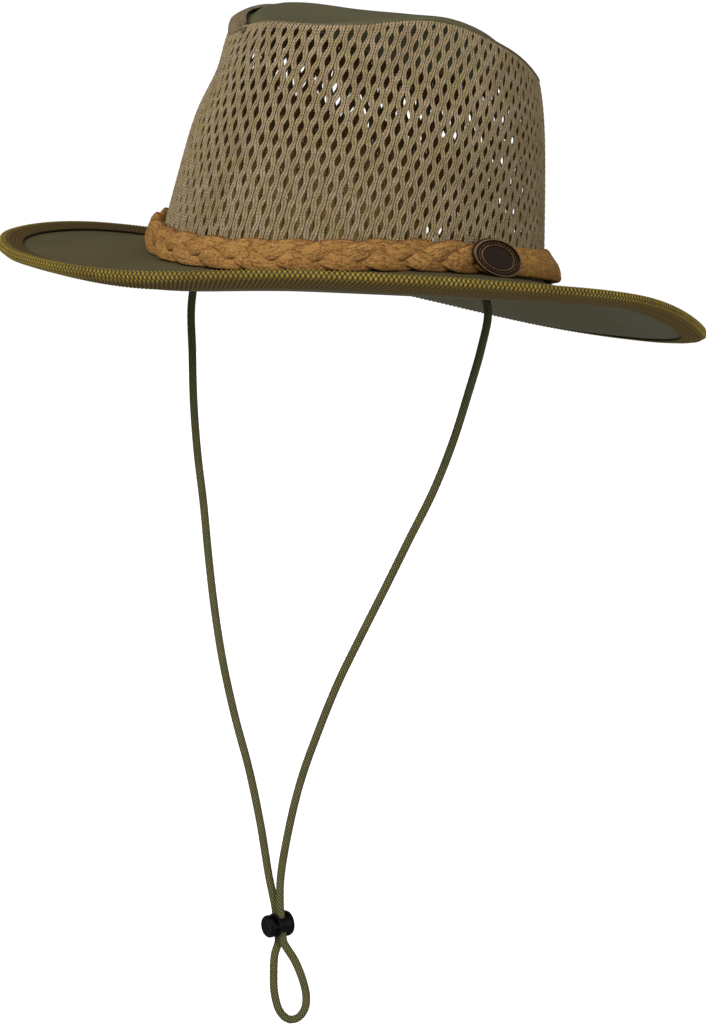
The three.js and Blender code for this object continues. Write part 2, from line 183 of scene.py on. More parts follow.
# %% [markdown]
# A hat's outline wanders: the brim dips at the front and curls up at the sides. It could be
# sculpted, but a short table is easier to read and to correct. It has a row for each thirty
# degrees round the head, from the front over the wearer's left. Heights are in millimetres, and
# ridge_at says how far out from the crease the crown's ridge lies. The same rows made the solids.

# %% The hat's heights round the head
ROUND = [
    dict(angle=0, foot=-8, edge=-12, gutter=6, seam=102.4, ridge=103.5, ridge_at=0.75),
    dict(angle=30, foot=-4, edge=-2, gutter=7, seam=107, ridge=109, ridge_at=0.8),
    dict(angle=60, foot=1, edge=1.8, gutter=7, seam=113, ridge=113.6, ridge_at=0.9),
    dict(angle=90, foot=2, edge=0.3, gutter=5, seam=104.5, ridge=105.6, ridge_at=0.85),
    dict(angle=120, foot=0, edge=-14, gutter=4, seam=92.8, ridge=104.1, ridge_at=0.65),
    dict(angle=150, foot=-3.5, edge=-21.5, gutter=5, seam=88, ridge=111.5, ridge_at=0.6),
    dict(angle=180, foot=-6, edge=-21.5, gutter=6.5, seam=88, ridge=115.5, ridge_at=0.58),
    dict(angle=210, foot=-5, edge=-14.5, gutter=5, seam=90, ridge=115.5, ridge_at=0.6),
    dict(angle=240, foot=-1, edge=-3, gutter=6, seam=99, ridge=115, ridge_at=0.68),
    dict(angle=270, foot=3, edge=0.3, gutter=5, seam=112, ridge=115, ridge_at=0.8),
    dict(angle=300, foot=-1, edge=-5, gutter=3, seam=106, ridge=110, ridge_at=0.88),
    dict(angle=330, foot=-7, edge=-12, gutter=2, seam=96.5, ridge=104, ridge_at=0.8),
]
GAP = 0.3 * MM
FOOT_X, FOOT_Y = 83 * MM, 103 * MM
RIM_X, RIM_Y, RIM_BACK = 67 * MM, 85 * MM, 8 * MM
SHOULDER, SHOULDER_POWER = 0.25, 6
PINCH_DEPTH, PINCH_ANGLES, PINCH_SPREAD = 3.5 * MM, (50, 310), 25
PINCH_HEIGHT, PINCH_REACH = 0.8, 0.15
NET_WALL = 2 * MM
BRIM_X, BRIM_Y, BRIM_BACK, BRIM_CLOTH = 158 * MM, 177 * MM, 4 * MM, 2 * MM
GUTTER_PEAK = 6.75
CREASE_HEIGHT, TOP_CLOTH, RIDGE_FALL = 101 * MM, 1.6 * MM, 1.6
print("rows round the head", len(ROUND))


# %% Smooth steps between values
def round_value(angle, column):
    """A column of the table, carried smoothly round the hat."""
    place = (angle % 360) * len(ROUND) / 360
    row = int(place)
    share = place - row
    before, here, after, beyond = (ROUND[(row + k) % len(ROUND)][column] for k in (-1, 0, 1, 2))
    start_slope, end_slope = (after - before) / 2, (beyond - here) / 2
    square, cube = share ** 2, share ** 3
    return ((2 * cube - 3 * square + 1) * here + (cube - 2 * square + share) * start_slope
            + (3 * square - 2 * cube) * after + (cube - square) * end_slope)


def mix(start, end, share):
    return start + (end - start) * share


def eased(value, start, end):
    """0 before start, 1 after end, and a smooth ease between them."""
    share = min(max((value - start) / (end - start), 0), 1)
    return share * share * (3 - 2 * share)


def bell(distance, spread):
    return math.exp(-((distance / spread) ** 2))


def turned_between(angle, centre):
    """The signed angle from centre to angle, from -180 to 180."""
    return (angle - centre + 180) % 360 - 180


print("seam at 45 degrees", round(round_value(45, "seam"), 1), "mm")


# %% The crown's wall
def wall_foot(angle):
    return round_value(angle, "foot") * MM + BRIM_CLOTH / 2 + GAP


def wall_point(angle, share, inward=0):
    """A point of the crown's wall: share is 0 at the foot and 1 at the seam."""
    lean = (1 - SHOULDER) * share + SHOULDER * max(share, 0) ** SHOULDER_POWER
    pinch = sum(bell(turned_between(angle, centre), PINCH_SPREAD) for centre in PINCH_ANGLES)
    drawn = inward + PINCH_DEPTH * pinch * bell(share - PINCH_HEIGHT, PINCH_REACH)
    x = mix(FOOT_X, RIM_X, lean) - drawn
    y = mix(FOOT_Y, RIM_Y, lean) - drawn
    z = mix(wall_foot(angle), round_value(angle, "seam") * MM, share)
    turn = math.radians(angle)
    return Vector((x * math.sin(turn), RIM_BACK * lean - y * math.cos(turn), z))


def wall_height(angle):
    return round_value(angle, "seam") * MM - wall_foot(angle)


def beside_wall(angle, out, up):
    """A point that lies out from the crown's wall and up from its foot."""
    return wall_point(angle, up / wall_height(angle), -out)


print("wall height at the front", round(wall_height(0), 4))


# %% The brim's cloth
def brim_middle(angle, share):
    """A point of the brim's middle: share is 0 at the head opening and 1 at the edge."""
    turn = math.radians(angle)
    x = mix(FOOT_X - NET_WALL, BRIM_X, share)
    y = mix(FOOT_Y - NET_WALL, BRIM_Y, share)
    foot, edge = round_value(angle, "foot"), round_value(angle, "edge")
    dip = round_value(angle, "gutter") * GUTTER_PEAK * share ** 2 * (1 - share)
    height = (mix(foot, edge, share) - dip) * MM
    return Vector((x * math.sin(turn), BRIM_BACK * share - y * math.cos(turn), height))


def brim_up(angle, share):
    """The direction square to the brim's cloth, pointing up."""
    nudge, turn = 0.01, 0.5
    out = brim_middle(angle, share + nudge) - brim_middle(angle, share - nudge)
    along = brim_middle(angle + turn, share) - brim_middle(angle - turn, share)
    up = out.cross(along).normalized()
    return up if up.z > 0 else -up


def brim_point(angle, share, lift):
    return brim_middle(angle, share) + brim_up(angle, share) * lift


def brim_width(angle):
    reach = brim_middle(angle, 1) - brim_middle(angle, 0)
    return math.hypot(reach.x, reach.y)


print("brim width at the front", round(brim_width(0), 4))


# %% The canvas top and even steps
def top_height(angle, share):
    """How high the canvas top's underside is: share is 0 in the crease and 1 at the seam."""
    ridge_at = round_value(angle, "ridge_at")
    ridge, seam = round_value(angle, "ridge") * MM, round_value(angle, "seam") * MM
    rise = 0.5 - 0.5 * math.cos(math.pi * min(share / ridge_at, 1))
    fall = max((share - ridge_at) / (1 - ridge_at), 0) ** RIDGE_FALL
    return CREASE_HEIGHT + (ridge - CREASE_HEIGHT) * rise - (ridge - seam) * fall + GAP


def even_angles(place, steps=720):
    """Make a function from a share of the way round to the angle there, by length walked."""
    angles = np.linspace(0, 360, steps + 1)
    points = [place(angle) for angle in angles]
    walked = [0.0]
    for start, end in zip(points, points[1:]):
        walked.append(walked[-1] + (end - start).length)
    length = walked[-1]
    return (lambda share: float(np.interp(share % 1, np.array(walked) / length, angles))), length


crown_angle, crown_round = even_angles(lambda angle: wall_point(angle, 0.5))
foot_angle, foot_round = even_angles(lambda angle: wall_point(angle, 0.05))
edge_angle, edge_round = even_angles(lambda angle: brim_middle(angle, 1))
print("round the crown", round(crown_round, 3), "round the edge", round(edge_round, 3))

# %% [markdown]
# The chin cord is one round braid, 3.8 mm thick. It leaves the crown inside the wearer's right,
# runs down through the lock, makes a free loop and comes back up on the left. A cloth simulation
# would let it hang, but a cord that is still stiff from its packet doesn't hang as a chain
# would. So its route is a table of how far each strand hangs from the middle, in millimetres.

# %% Cord route
CORD_DIAMETER = 3.8 * MM
CORD_FORWARD, CORD_DROP = -8 * MM, 300 * MM
STRAND_GAP = 0.3 * MM
STRANDS = [
    dict(height=8, right=77.9, left=77.9),
    dict(height=-2, right=78.2, left=78.2),
    dict(height=-14, right=83.2, left=82.8),
    dict(height=-30.2, right=84.8, left=81.2),
    dict(height=-52.3, right=81.7, left=76.4),
    dict(height=-75.5, right=78.2, left=70.6),
    dict(height=-98.6, right=73.3, left=62.8),
    dict(height=-122.7, right=66.8, left=52),
    dict(height=-146.9, right=61, left=41.3),
    dict(height=-171, right=54.6, left=30.4),
    dict(height=-195.2, right=46.8, left=19.9),
    dict(height=-219.3, right=37, left=11.5),
    dict(height=-243.5, right=25.6, left=4.4),
    dict(height=-267.6, right=16.2, left=0.2),
    dict(height=-290.7, right=8.6, left=-1.7),
]
LOOP_TURN = math.radians(35)
LOOP = [
    dict(along=-0.3, height=-326.9),
    dict(along=0.2, height=-336),
    dict(along=1.6, height=-345.1),
    dict(along=5.2, height=-353.6),
    dict(along=9.8, height=-356.7),
    dict(along=14, height=-355.3),
    dict(along=16.6, height=-350.7),
    dict(along=16.6, height=-345.1),
    dict(along=14.6, height=-338.6),
    dict(along=9.6, height=-329),
]
LOCK_CENTRE = Vector((0.2, 0.2, -312.4)) * MM
LOCK_DIAMETER = 12.2 * MM
lock_turn = (
    Matrix.Rotation(math.radians(12), 3, Vector((0.574, -0.819, 0)).normalized())
    @ Matrix.Rotation(math.radians(-20), 3, "Z")
)


def lock_point(x, y, z):
    """From the lock's own axes (X across the strands, Y into the body) to the hat's."""
    return LOCK_CENTRE + lock_turn @ Vector((x, y, z))


def strand_point(x, height):
    return Vector((x * MM, CORD_FORWARD * (1 + height * MM / CORD_DROP), height * MM))


def through_lock(side):
    above = LOCK_DIAMETER / 2 + 2 * MM
    beside = side * (CORD_DIAMETER + STRAND_GAP) / 2
    return [lock_point(beside, 0, z) for z in (above, above / 2, 0, -above / 2, -above)]


right_strand = [strand_point(-row["right"], row["height"]) for row in STRANDS]
left_strand = [strand_point(row["left"], row["height"]) for row in STRANDS]
free_loop = [
    Vector((row["along"] * math.cos(LOOP_TURN), row["along"] * math.sin(LOOP_TURN), row["height"])) * MM
    for row in LOOP
]
cord_route = (right_strand + through_lock(-1) + free_loop
              + through_lock(1)[::-1] + left_strand[::-1])
print("cord route points", len(cord_route))


# %% [markdown]
# A smooth line through the route is wanted with even steps, so that the braid's pattern keeps
# its size. The line between two points is a centripetal spline, which doesn't overshoot where
# points lie close together, as they do in the lock.

# %% Cord line
def spline_point(before, here, after, beyond, share):
    """A point of the centripetal spline from here to after."""
    knots = [0.0]
    for start, end in ((before, here), (here, after), (after, beyond)):
        knots.append(knots[-1] + max(math.sqrt((end - start).length), 1e-5))
    at = mix(knots[1], knots[2], share)
    layer = [before, here, after, beyond]
    for spans in (((0, 1), (1, 2), (2, 3)), ((0, 2), (1, 3)), ((1, 2),)):
        joined = []
        for k, (start, end) in enumerate(spans):
            low, high = knots[start], knots[end]
            joined.append(layer[k].lerp(layer[k + 1], (at - low) / (high - low)))
        layer = joined
    return layer[0]


def smooth_line(route, step):
    """The route as points an even step apart."""
    ends = [route[0] * 2 - route[1]] + route + [route[-1] * 2 - route[-2]]
    fine = []
    for k in range(len(route) - 1):
        fine += [spline_point(*ends[k:k + 4], i / 24) for i in range(24)]
    fine.append(route[-1])
    walked = np.concatenate([[0], np.cumsum([(b - a).length for a, b in zip(fine, fine[1:])])])
    places = np.linspace(0, walked[-1], round(walked[-1] / step) + 1)
    return [Vector([float(np.interp(s, walked, [p[axis] for p in fine])) for axis in range(3)])
            for s in places], float(walked[-1])


cord_line, cord_length = smooth_line(cord_route, 1.5 * MM)
print("cord length", round(cord_length, 4), "steps", len(cord_line))


def line_frames(line):
    """Two directions square to the line at each point, carried along without twisting."""
    side = (line[1] - line[0]).orthogonal().normalized()
    frames = []
    for k in range(len(line)):
        along = (line[min(k + 1, len(line) - 1)] - line[max(k - 1, 0)]).normalized()
        side = (side - along * side.dot(along)).normalized()
        frames.append((side, along.cross(side)))
    return frames


# %% [markdown]
# A curve with a round bevel would be the quick way to a cord. Here it is a grid rolled into a
# tube round the line, because the grid brings a UV map in metres, and its corners can carry the
# braid: two sets of strands cross round the tube and stand a tenth of a millimetre proud.

# %% Cord
CORD_SIDES, CORD_STRANDS = 16, 4
BRAID_PITCH, BRAID_PROUD, BRAID_SUNK = 3.2 * MM, 0.12 * MM, 0.7
cord_frames = line_frames(cord_line)


def braid_height(along, around, strands):
    """How proud two crossing sets of strands stand, from 0 to 1: around is a share of a turn."""
    right = 0.5 + 0.5 * math.cos(2 * math.pi * (along + around * strands))
    left = 0.5 + 0.5 * math.cos(2 * math.pi * (along - around * strands))
    return max(right, left)


def cord_corner(u, v):
    last = len(cord_line) - 1
    k = round(u * last)
    side, across = cord_frames[k]
    turn = 2 * math.pi * v
    proud = BRAID_PROUD * braid_height(u * cord_length / BRAID_PITCH, v, CORD_STRANDS)
    radius = CORD_DIAMETER / 2 - BRAID_PROUD * BRAID_SUNK + proud
    return cord_line[k] + (side * math.cos(turn) + across * math.sin(turn)) * radius


chin_cord = wrapped("chin_cord_braid", len(cord_line) - 1, CORD_SIDES, cord_corner)
close_ends(chin_cord)
size_uv(chin_cord, cord_length, math.pi * CORD_DIAMETER)
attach(chin_cord, "hat")
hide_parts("chin_cord")
report(chin_cord)

# %% [markdown]
# The crown's wall is a knitted net. Each upright strand is a flat pair of chained yarns that
# swings from one neighbour to the other, and where it leaves a neighbour an almond-shaped hole
# opens. A flat sheet with holes would look punched, so every strand is its own rounded ribbon.
# The rows of holes don't run level: they fall towards the wearer's left, as the net was cut.
# On the far side the net has slackened and its holes are slits, except where the picture shows
# light through both walls: in a band under the shoulder, on the left, and at one low spot. Low
# at the front the holes are narrower, as if the band drew the net in.

# %% Net sizes
NET_STRANDS = 168
HOLE_HEIGHT, HOLE_WIDTH, HOLE_TAPER = 6 * MM, 2.85 * MM, 1.7
SLIT_SHORTER, SLIT_NARROWER = 0.5, 0.95
FOOT_SHARE, FOOT_FROM, FOOT_TO = 0.8, 10 * MM, 45 * MM
PULLED_MIDDLE, PULLED_FULL, PULLED_NONE = -8, 30, 62
PULLED_SHARE, PULLED_FROM, PULLED_TO = 0.28, 30 * MM, 68 * MM
ROW_HEIGHT = 6.15 * MM
NET_LEAN, LEAN_SWING, LEAN_TURN = 0.1, 0.1, math.radians(25)
ROW_TURNS, ROW_TILT = 4, 25.8 * MM
YARN_THICK = 1.3 * MM
RINGS_PER_ROW = 6
NET_PIECES = 4
NET_TUCK = 1.2 * MM
PLAIN_LAP, ROLLED_LAP = 0.7 * MM, 1.6 * MM
PLAIN_INWARD, ROLLED_INWARD = 0.2 * MM, 1.2 * MM
PLAIN_MIDDLE, PLAIN_FULL, PLAIN_NONE = 92, 32, 50
RISE_MIDDLE, RISE_SPREAD, NET_RISE = 335, 19, 5.5 * MM
SLACK_MIDDLE, SLACK_FULL, SLACK_NONE = 215, 66, 94
OPEN_PLACES = [
    dict(angle=230, turn=62, below=22 * MM, reach=8 * MM),
    dict(angle=150, turn=17, below=45 * MM, reach=70 * MM),
    dict(angle=192, turn=9, below=70 * MM, reach=6 * MM),
]
FOOT_HEM, TOP_HEM, WELT_HEM = 2.6 * MM, 1.5 * MM, 8 * MM
WELT_MIDDLE, WELT_REACH = 298, 38
YARN_SECTION = [
    dict(across=-1, out=-0.1), dict(across=-0.78, out=0.38), dict(across=-0.5, out=0.5),
    dict(across=-0.2, out=0.36), dict(across=0, out=0.12), dict(across=0.2, out=0.36),
    dict(across=0.5, out=0.5), dict(across=0.78, out=0.38), dict(across=1, out=-0.1),
    dict(across=0.5, out=-0.5), dict(across=0, out=-0.3), dict(across=-0.5, out=-0.5),
]
print("net strands", NET_STRANDS, "each", round(crown_round / NET_STRANDS / MM, 2), "mm wide")


# %% Where the net is rolled, slack or open
def rolled_at(angle):
    """1 where the net is rolled over the canvas's edge, and 0 where the two meet plainly."""
    return eased(abs(turned_between(angle, PLAIN_MIDDLE)), PLAIN_FULL, PLAIN_NONE)


def net_rise(angle):
    """How far the net stands above the solid's seam, where it climbs into the welt."""
    return NET_RISE * bell(turned_between(angle, RISE_MIDDLE), RISE_SPREAD)


def net_lean(share):
    """How far aside a strand runs for each metre that it climbs."""
    return NET_LEAN + LEAN_SWING * math.sin(math.radians(crown_angle(share)) - LEAN_TURN)


def patch_of(distance, reach):
    """1 within a patch and 0 outside it, with a steeper side than a bell."""
    return math.exp(-((distance / reach) ** 4))


def slackness(angle, below):
    """1 where the net has closed to slits, and 0 where it is drawn open."""
    behind = 1 - eased(abs(turned_between(angle, SLACK_MIDDLE)), SLACK_FULL, SLACK_NONE)
    drawn = max(patch_of(turned_between(angle, place["angle"]), place["turn"])
                * patch_of(below - place["below"], place["reach"]) for place in OPEN_PLACES)
    return behind * (1 - drawn)


def row_fall(strand):
    """How far the rows of holes have fallen at a strand, beside the rows at the front."""
    share = strand / NET_STRANDS
    angle = crown_angle(share) + (360 if strand == NET_STRANDS else 0)
    tilt = ROW_TILT * math.cos(math.radians(angle) - VIEW_TURN)
    return ROW_TURNS * 2 * ROW_HEIGHT * angle / 360 - tilt + wall_foot(angle)


def welt_at(angle):
    """1 where the welt is full, and 0 where the canvas meets the net with a plain edge."""
    return 1 - eased(abs(turned_between(angle, WELT_MIDDLE)), WELT_REACH * 0.55, WELT_REACH)


print("slackness behind", round(slackness(180, 30 * MM), 2))


# %% Width of the holes
def pulled_at(angle, along):
    """How much of a hole's width is left, low at the front and elsewhere."""
    near = 1 - eased(abs(turned_between(angle, PULLED_MIDDLE)), PULLED_FULL, PULLED_NONE)
    return 1 - PULLED_SHARE * near * (1 - eased(along, PULLED_FROM, PULLED_TO))


def hem_at(angle, along, height):
    """1 within the net, and 0 in the closed hems along its foot and its top."""
    top_hem = mix(TOP_HEM, WELT_HEM, welt_at(angle))
    top = 1 - eased(along, height - top_hem, height - 0.4 * top_hem)
    return eased(along, FOOT_HEM, 2 * FOOT_HEM) * top


def hole_half_width(along, height, strand, slack):
    """Half the width of the hole on the left of a strand, at a height along it."""
    period = 2 * ROW_HEIGHT
    start = ROW_HEIGHT * (strand % 2) - row_falls[strand]
    reach = HOLE_HEIGHT / 2 * (1 - SLIT_SHORTER * slack)
    away = abs((along - start + period / 2) % period - period / 2) / reach
    if away >= 1:
        return 0
    angle = crown_angle(strand / NET_STRANDS)
    low = mix(FOOT_SHARE, 1, eased(along, FOOT_FROM, FOOT_TO)) * pulled_at(angle, along)
    widest = HOLE_WIDTH / 2 * low * (1 - SLIT_NARROWER * slack)
    return widest * (1 - away ** HOLE_TAPER) * hem_at(angle, along, height)


print("share of a hole left low at the front", round(pulled_at(0, 0), 2))


# %% Strands of the net
STRAND_OVERLAP, CHAIN_DEEP = 1.03, 0.1
strand_width = crown_round / NET_STRANDS
net_rows = max(wall_height(angle) for angle in range(0, 360, 5)) / ROW_HEIGHT
net_rings = math.ceil(net_rows * RINGS_PER_ROW)
row_falls = [row_fall(strand) for strand in range(NET_STRANDS + 1)]
print("net rings", net_rings)


def net_corner(strand, u, v):
    """A corner of one strand: u runs round its section and v up the wall."""
    turn = strand / NET_STRANDS
    angle = crown_angle(turn)
    rolled = rolled_at(angle)
    height = wall_height(angle)
    hem_height = height + net_rise(angle)
    lap = mix(PLAIN_LAP, ROLLED_LAP, rolled)
    along = mix(-NET_TUCK, hem_height + lap, v)
    slack = slackness(angle, height - along)
    left = hole_half_width(along, hem_height, strand, slack)
    right = strand_width - hole_half_width(along, hem_height, strand + 1, slack)
    k = round(u * len(YARN_SECTION)) % len(YARN_SECTION)
    section = YARN_SECTION[k]
    centre, half = (left + right) / 2, (right - left) / 2 * STRAND_OVERLAP
    lean = net_lean((strand + 0.5 + 0.5 * section["across"]) / NET_STRANDS)
    aside = centre + half * section["across"] + lean * along
    chain = CHAIN_DEEP * math.sin(2 * math.pi * (along / ROW_HEIGHT + 0.5 * strand))
    inward = NET_WALL / 2 - YARN_THICK * (section["out"] + chain)
    inward += mix(PLAIN_INWARD, ROLLED_INWARD, rolled) * (max(along - hem_height, 0) / lap) ** 2
    return wall_point(crown_angle(turn + aside / crown_round), along / height, inward)


# %% Quarters of the net
def make_net(part):
    """One quarter of the net, strand by strand."""
    bm = grid_bmesh(len(YARN_SECTION), net_rings)
    strand_mesh = bpy.data.meshes.new("net_strand")
    bm.to_mesh(strand_mesh)
    corners = [(vert.co.x, vert.co.y) for vert in bm.verts]
    bm.free()
    bm = bmesh.new()
    per_piece = NET_STRANDS // NET_PIECES
    for number in range(per_piece):
        bm.from_mesh(strand_mesh)
    bm.verts.ensure_lookup_table()
    for index, vert in enumerate(bm.verts):
        strand = part * per_piece + index // len(corners)
        u, v = corners[index % len(corners)]
        vert.co = net_corner(strand, u, v)
    bmesh.ops.remove_doubles(bm, verts=bm.verts, dist=JOIN)
    bmesh.ops.holes_fill(bm, edges=[edge for edge in bm.edges if edge.is_boundary])
    bmesh.ops.recalc_face_normals(bm, faces=bm.faces)
    bpy.data.meshes.remove(strand_mesh)
    piece = finish_piece(bm, f"net_knit_{part + 1}")
    size_uv(piece, 1, net_rows * ROW_HEIGHT)
    return piece


net_pieces = [make_net(part) for part in range(NET_PIECES)]
for piece in net_pieces:
    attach(piece, "hat")
    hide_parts("crown_net")
    report(piece)

# %% [markdown]
# The crown's top is one oval of canvas, pressed into a long dish with a ridge round it. Over
# the front and the wearer's right, the net is rolled over its edge as a thick soft welt, and
# the canvas sinks into a groove behind the welt. A disc could be pulled into that form, but a
# grid that runs out under the cloth and back over it also has the cloth's thickness.

# %% Canvas top
TOP_RINGS = 40
PLAIN_EDGE, ROLLED_EDGE = 0.5 * MM, 1.7 * MM
WELT_SINK, GROOVE_SHARE, GROOVE_DEEP = 2.2 * MM, 0.895, 2 * MM
TOP_TUCK, TOP_RIPPLE = 0.4 * MM, 0.5 * MM


def top_corner(u, v):
    """The grid's v runs out under the canvas and comes back over it."""
    angle = 360 * u
    under = v < 0.5
    share = (2 * v if under else 2 - 2 * v) ** 0.8
    height = top_height(angle, share) + (0 if under else TOP_CLOTH)
    sink = WELT_SINK * eased(share, 0.85, 0.92) + GROOVE_DEEP * bell(share - GROOVE_SHARE, 0.025)
    tuck = TOP_TUCK * bell(share - 1, 0.02)
    turn = math.radians(angle)
    spot = Vector((share * 4 * math.sin(turn), share * 5, 3))
    ripple = TOP_RIPPLE * noise.noise(spot) * (1 - share)
    inside = mix(PLAIN_EDGE, ROLLED_EDGE, rolled_at(angle))
    x = (RIM_X - inside) * share * math.sin(turn)
    y = RIM_BACK - (RIM_Y - inside) * share * math.cos(turn)
    fallen = welt_at(angle) * sink + (0 if under else tuck - ripple)
    return Vector((x, y, height - fallen))


crown_top = wrapped("crown_top_canvas", 240, 2 * TOP_RINGS, top_corner)
size_uv(crown_top, 2 * math.pi * (RIM_X + RIM_Y) / 2, RIM_X + RIM_Y)
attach(crown_top, "hat")
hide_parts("crown_top")
report(crown_top)

# %% [markdown]
# The welt is a strip of the same knit, rolled over the edge. A tube swept along the edge would
# be as thick all the way, and this one fades out at both ends. So it is a grid whose v goes up
# the wall, over the edge and down into the groove, and comes back inside it. Its chains of
# stitches run up and over.

# %% Welt
WELT_FROM, WELT_TO = WELT_MIDDLE - WELT_REACH, WELT_MIDDLE + WELT_REACH
WELT_LOW, WELT_IN, WELT_PROUD = 0.955, 0.895, 1.2 * MM
WELT_DROP, WELT_SET_IN = 0.8 * MM, 0.8 * MM
WELT_CHAIN, WELT_RIB, WELT_LUMP, WELT_GIRTH = 1.7 * MM, 0.22 * MM, 0.25 * MM, 45 * MM
EDGE_AT, OUTSIDE_SHARE, WELT_CURVE = 0.35, 0.62, 1.06
welt_length = (wall_point(WELT_TO, 1) - wall_point(WELT_FROM, 1)).length * WELT_CURVE


def welt_corner(u, v):
    """The grid's v runs up the outside of the welt and over it, and comes back inside."""
    angle = mix(WELT_FROM, WELT_TO, u)
    full = welt_at(angle)
    over = v < OUTSIDE_SHARE
    place = v / OUTSIDE_SHARE if over else (1 - v) / (1 - OUTSIDE_SHARE)
    turn = math.radians(angle)
    rise = net_rise(angle)
    if place < EDGE_AT:
        edge = 1 + rise / wall_height(angle)
        point = wall_point(angle, mix(edge - mix(0.005, 1 - WELT_LOW, full), edge, place / EDGE_AT))
    else:
        edge = wall_point(angle, 1 + rise / wall_height(angle))
        share = mix(0.99, WELT_IN, full)
        inner = Vector((
            RIM_X * share * math.sin(turn),
            RIM_BACK - RIM_Y * share * math.cos(turn),
            top_height(angle, share) + TOP_CLOTH - full * WELT_DROP,
        ))
        point = edge.lerp(inner, (place - EDGE_AT) / (1 - EDGE_AT))
    lean = math.pi / 2 * eased(place, 0, 0.6)
    level = Vector((math.sin(turn), -math.cos(turn), 0))
    facing = level * math.cos(lean) + Vector((0, 0, math.sin(lean)))
    lump = WELT_LUMP * noise.noise(Vector((u * 9, place * 2, 5)))
    chain = WELT_RIB * abs(math.cos(math.pi * u * welt_length / WELT_CHAIN))
    proud = (WELT_PROUD + WELT_SET_IN) * math.sin(math.pi * place) ** 0.8 - WELT_SET_IN
    outward = proud + (lump + chain) * math.sin(math.pi * place) if over else -WELT_SET_IN
    return point + facing * full * outward


welt = wrapped("crown_welt", 400, 40, welt_corner)
size_uv(welt, welt_length, WELT_GIRTH)
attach(welt, "hat")
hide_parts("crown_net")
report(welt)

# %% [markdown]
# The brim is a wide ring of stiffened canvas. It dips into a gutter and turns up again at the
# edge. A flat ring with a Solidify modifier would give its thickness, but its two faces differ
# in colour. So one grid runs out over it and back under it, and the faces of its underside get
# a slot of their own.

# %% Brim
BRIM_ROWS, BRIM_RIPPLE, BRIM_RUN = 64, 0.35 * MM, 76 * MM
EDGE_SETBACK = 0.1 * MM + GAP


def brim_corner(u, v):
    """The grid's v runs out over the brim and back under it."""
    angle = edge_angle(u)
    last = 1 - EDGE_SETBACK / brim_width(angle)
    over = v < 0.5
    share = last * (2 * v if over else 2 - 2 * v)
    turn = 2 * math.pi * u
    spot = Vector((6 * math.sin(turn), 6 * math.cos(turn), share * 5))
    ripple = BRIM_RIPPLE * noise.noise(spot) * (1 - share)
    lift = BRIM_CLOTH / 2 if over else -BRIM_CLOTH / 2
    if v in (0.0, 1.0):
        lift, share = 0, 0
    return brim_point(angle, share, lift + ripple)


brim = wrapped("brim_canvas", 360, BRIM_ROWS, brim_corner, patch=lambda v: int(v > 0.5))
size_uv(brim, edge_round, 2 * BRIM_RUN)
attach(brim, "hat")
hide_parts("brim")
report(brim)

# %% [markdown]
# A braided tape is folded over the brim's edge and sewn through. A bump map alone would leave
# the edge's outline smooth, so its lozenges are real bumps: the grid is fine enough to carry
# them, and they give the edge the beaded outline that it has. The section is a closed table in
# millimetres, of how far in from the brim's edge and how far above its middle each corner lies.

# %% Edge tape
LOZENGES_ROUND = 470
LOZENGE_ROW = 2 * MM
TAPE_PROUD, TAPE_SUNK, TAPE_CORE = 0.55 * MM, 0.4, 2.4 * MM
TAPE_SECTION = [
    dict(inset=5.2, lift=1.35), dict(inset=10.5, lift=1.3), dict(inset=10.5, lift=2.1),
    dict(inset=7.8, lift=2.4), dict(inset=5, lift=2.5), dict(inset=2.4, lift=2.5),
    dict(inset=0.4, lift=2.2), dict(inset=-0.9, lift=1.3), dict(inset=-1.4, lift=0),
    dict(inset=-0.9, lift=-1.3), dict(inset=0.4, lift=-2.2), dict(inset=2.4, lift=-2.5),
    dict(inset=5, lift=-2.5), dict(inset=7.8, lift=-2.4), dict(inset=10.5, lift=-2.1),
    dict(inset=10.5, lift=-1.3), dict(inset=5.2, lift=-1.35), dict(inset=0.2, lift=-1.3),
    dict(inset=0.2, lift=1.3),
]
OUTER_FROM, OUTER_TO = 2, 14


def closed_line(section):
    """The section's corners as even shares of its whole outline."""
    points = [Vector((row["inset"], row["lift"])) * MM for row in section]
    points.append(points[0])
    walked = [0.0]
    for start, end in zip(points, points[1:]):
        walked.append(walked[-1] + (end - start).length)
    return points, walked


tape_points, tape_walked = closed_line(TAPE_SECTION)
tape_length = tape_walked[-1]
outer_start, outer_end = tape_walked[OUTER_FROM], tape_walked[OUTER_TO]


def tape_corner(u, v):
    """A corner of the tape: u runs round the brim and v round the tape's section."""
    angle = edge_angle(u)
    walked = v * tape_length
    inset = float(np.interp(walked, tape_walked, [p.x for p in tape_points]))
    lift = float(np.interp(walked, tape_walked, [p.y for p in tape_points]))
    outside = outer_start <= walked <= outer_end
    across = (walked - (outer_start + outer_end) / 2) / LOZENGE_ROW / 2
    along = u * LOZENGES_ROUND
    bead = (math.cos(math.pi * (along + across)) * math.cos(math.pi * (along - across))) ** 2
    proud = TAPE_PROUD * (bead - TAPE_SUNK) if outside else 0
    point = brim_point(angle, 1 - inset / brim_width(angle), lift)
    core = brim_point(angle, 1 - TAPE_CORE / brim_width(angle), 0)
    outward = (point - core).normalized()
    if abs(inset) > TAPE_CORE:
        outward = brim_up(angle, 1) * (1 if lift > 0 else -1)
    return point + outward * proud


edge_tape = wrapped("edge_tape_braid", 4 * LOZENGES_ROUND, 44, tape_corner)
size_uv(edge_tape, edge_round, tape_length)
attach(edge_tape, "hat")
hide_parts("brim_tape")
report(edge_tape)

# %% [markdown]
# The band is a plait of three suede thongs. Each thong swings up and down the band and passes
# over one neighbour and under the next. It could be drawn as a curve for each thong, but a plait
# repeats, so its route is two sine waves, the second twice as fast. The three are the same wave,
# a third of a turn apart, and noise crumples the suede a little.

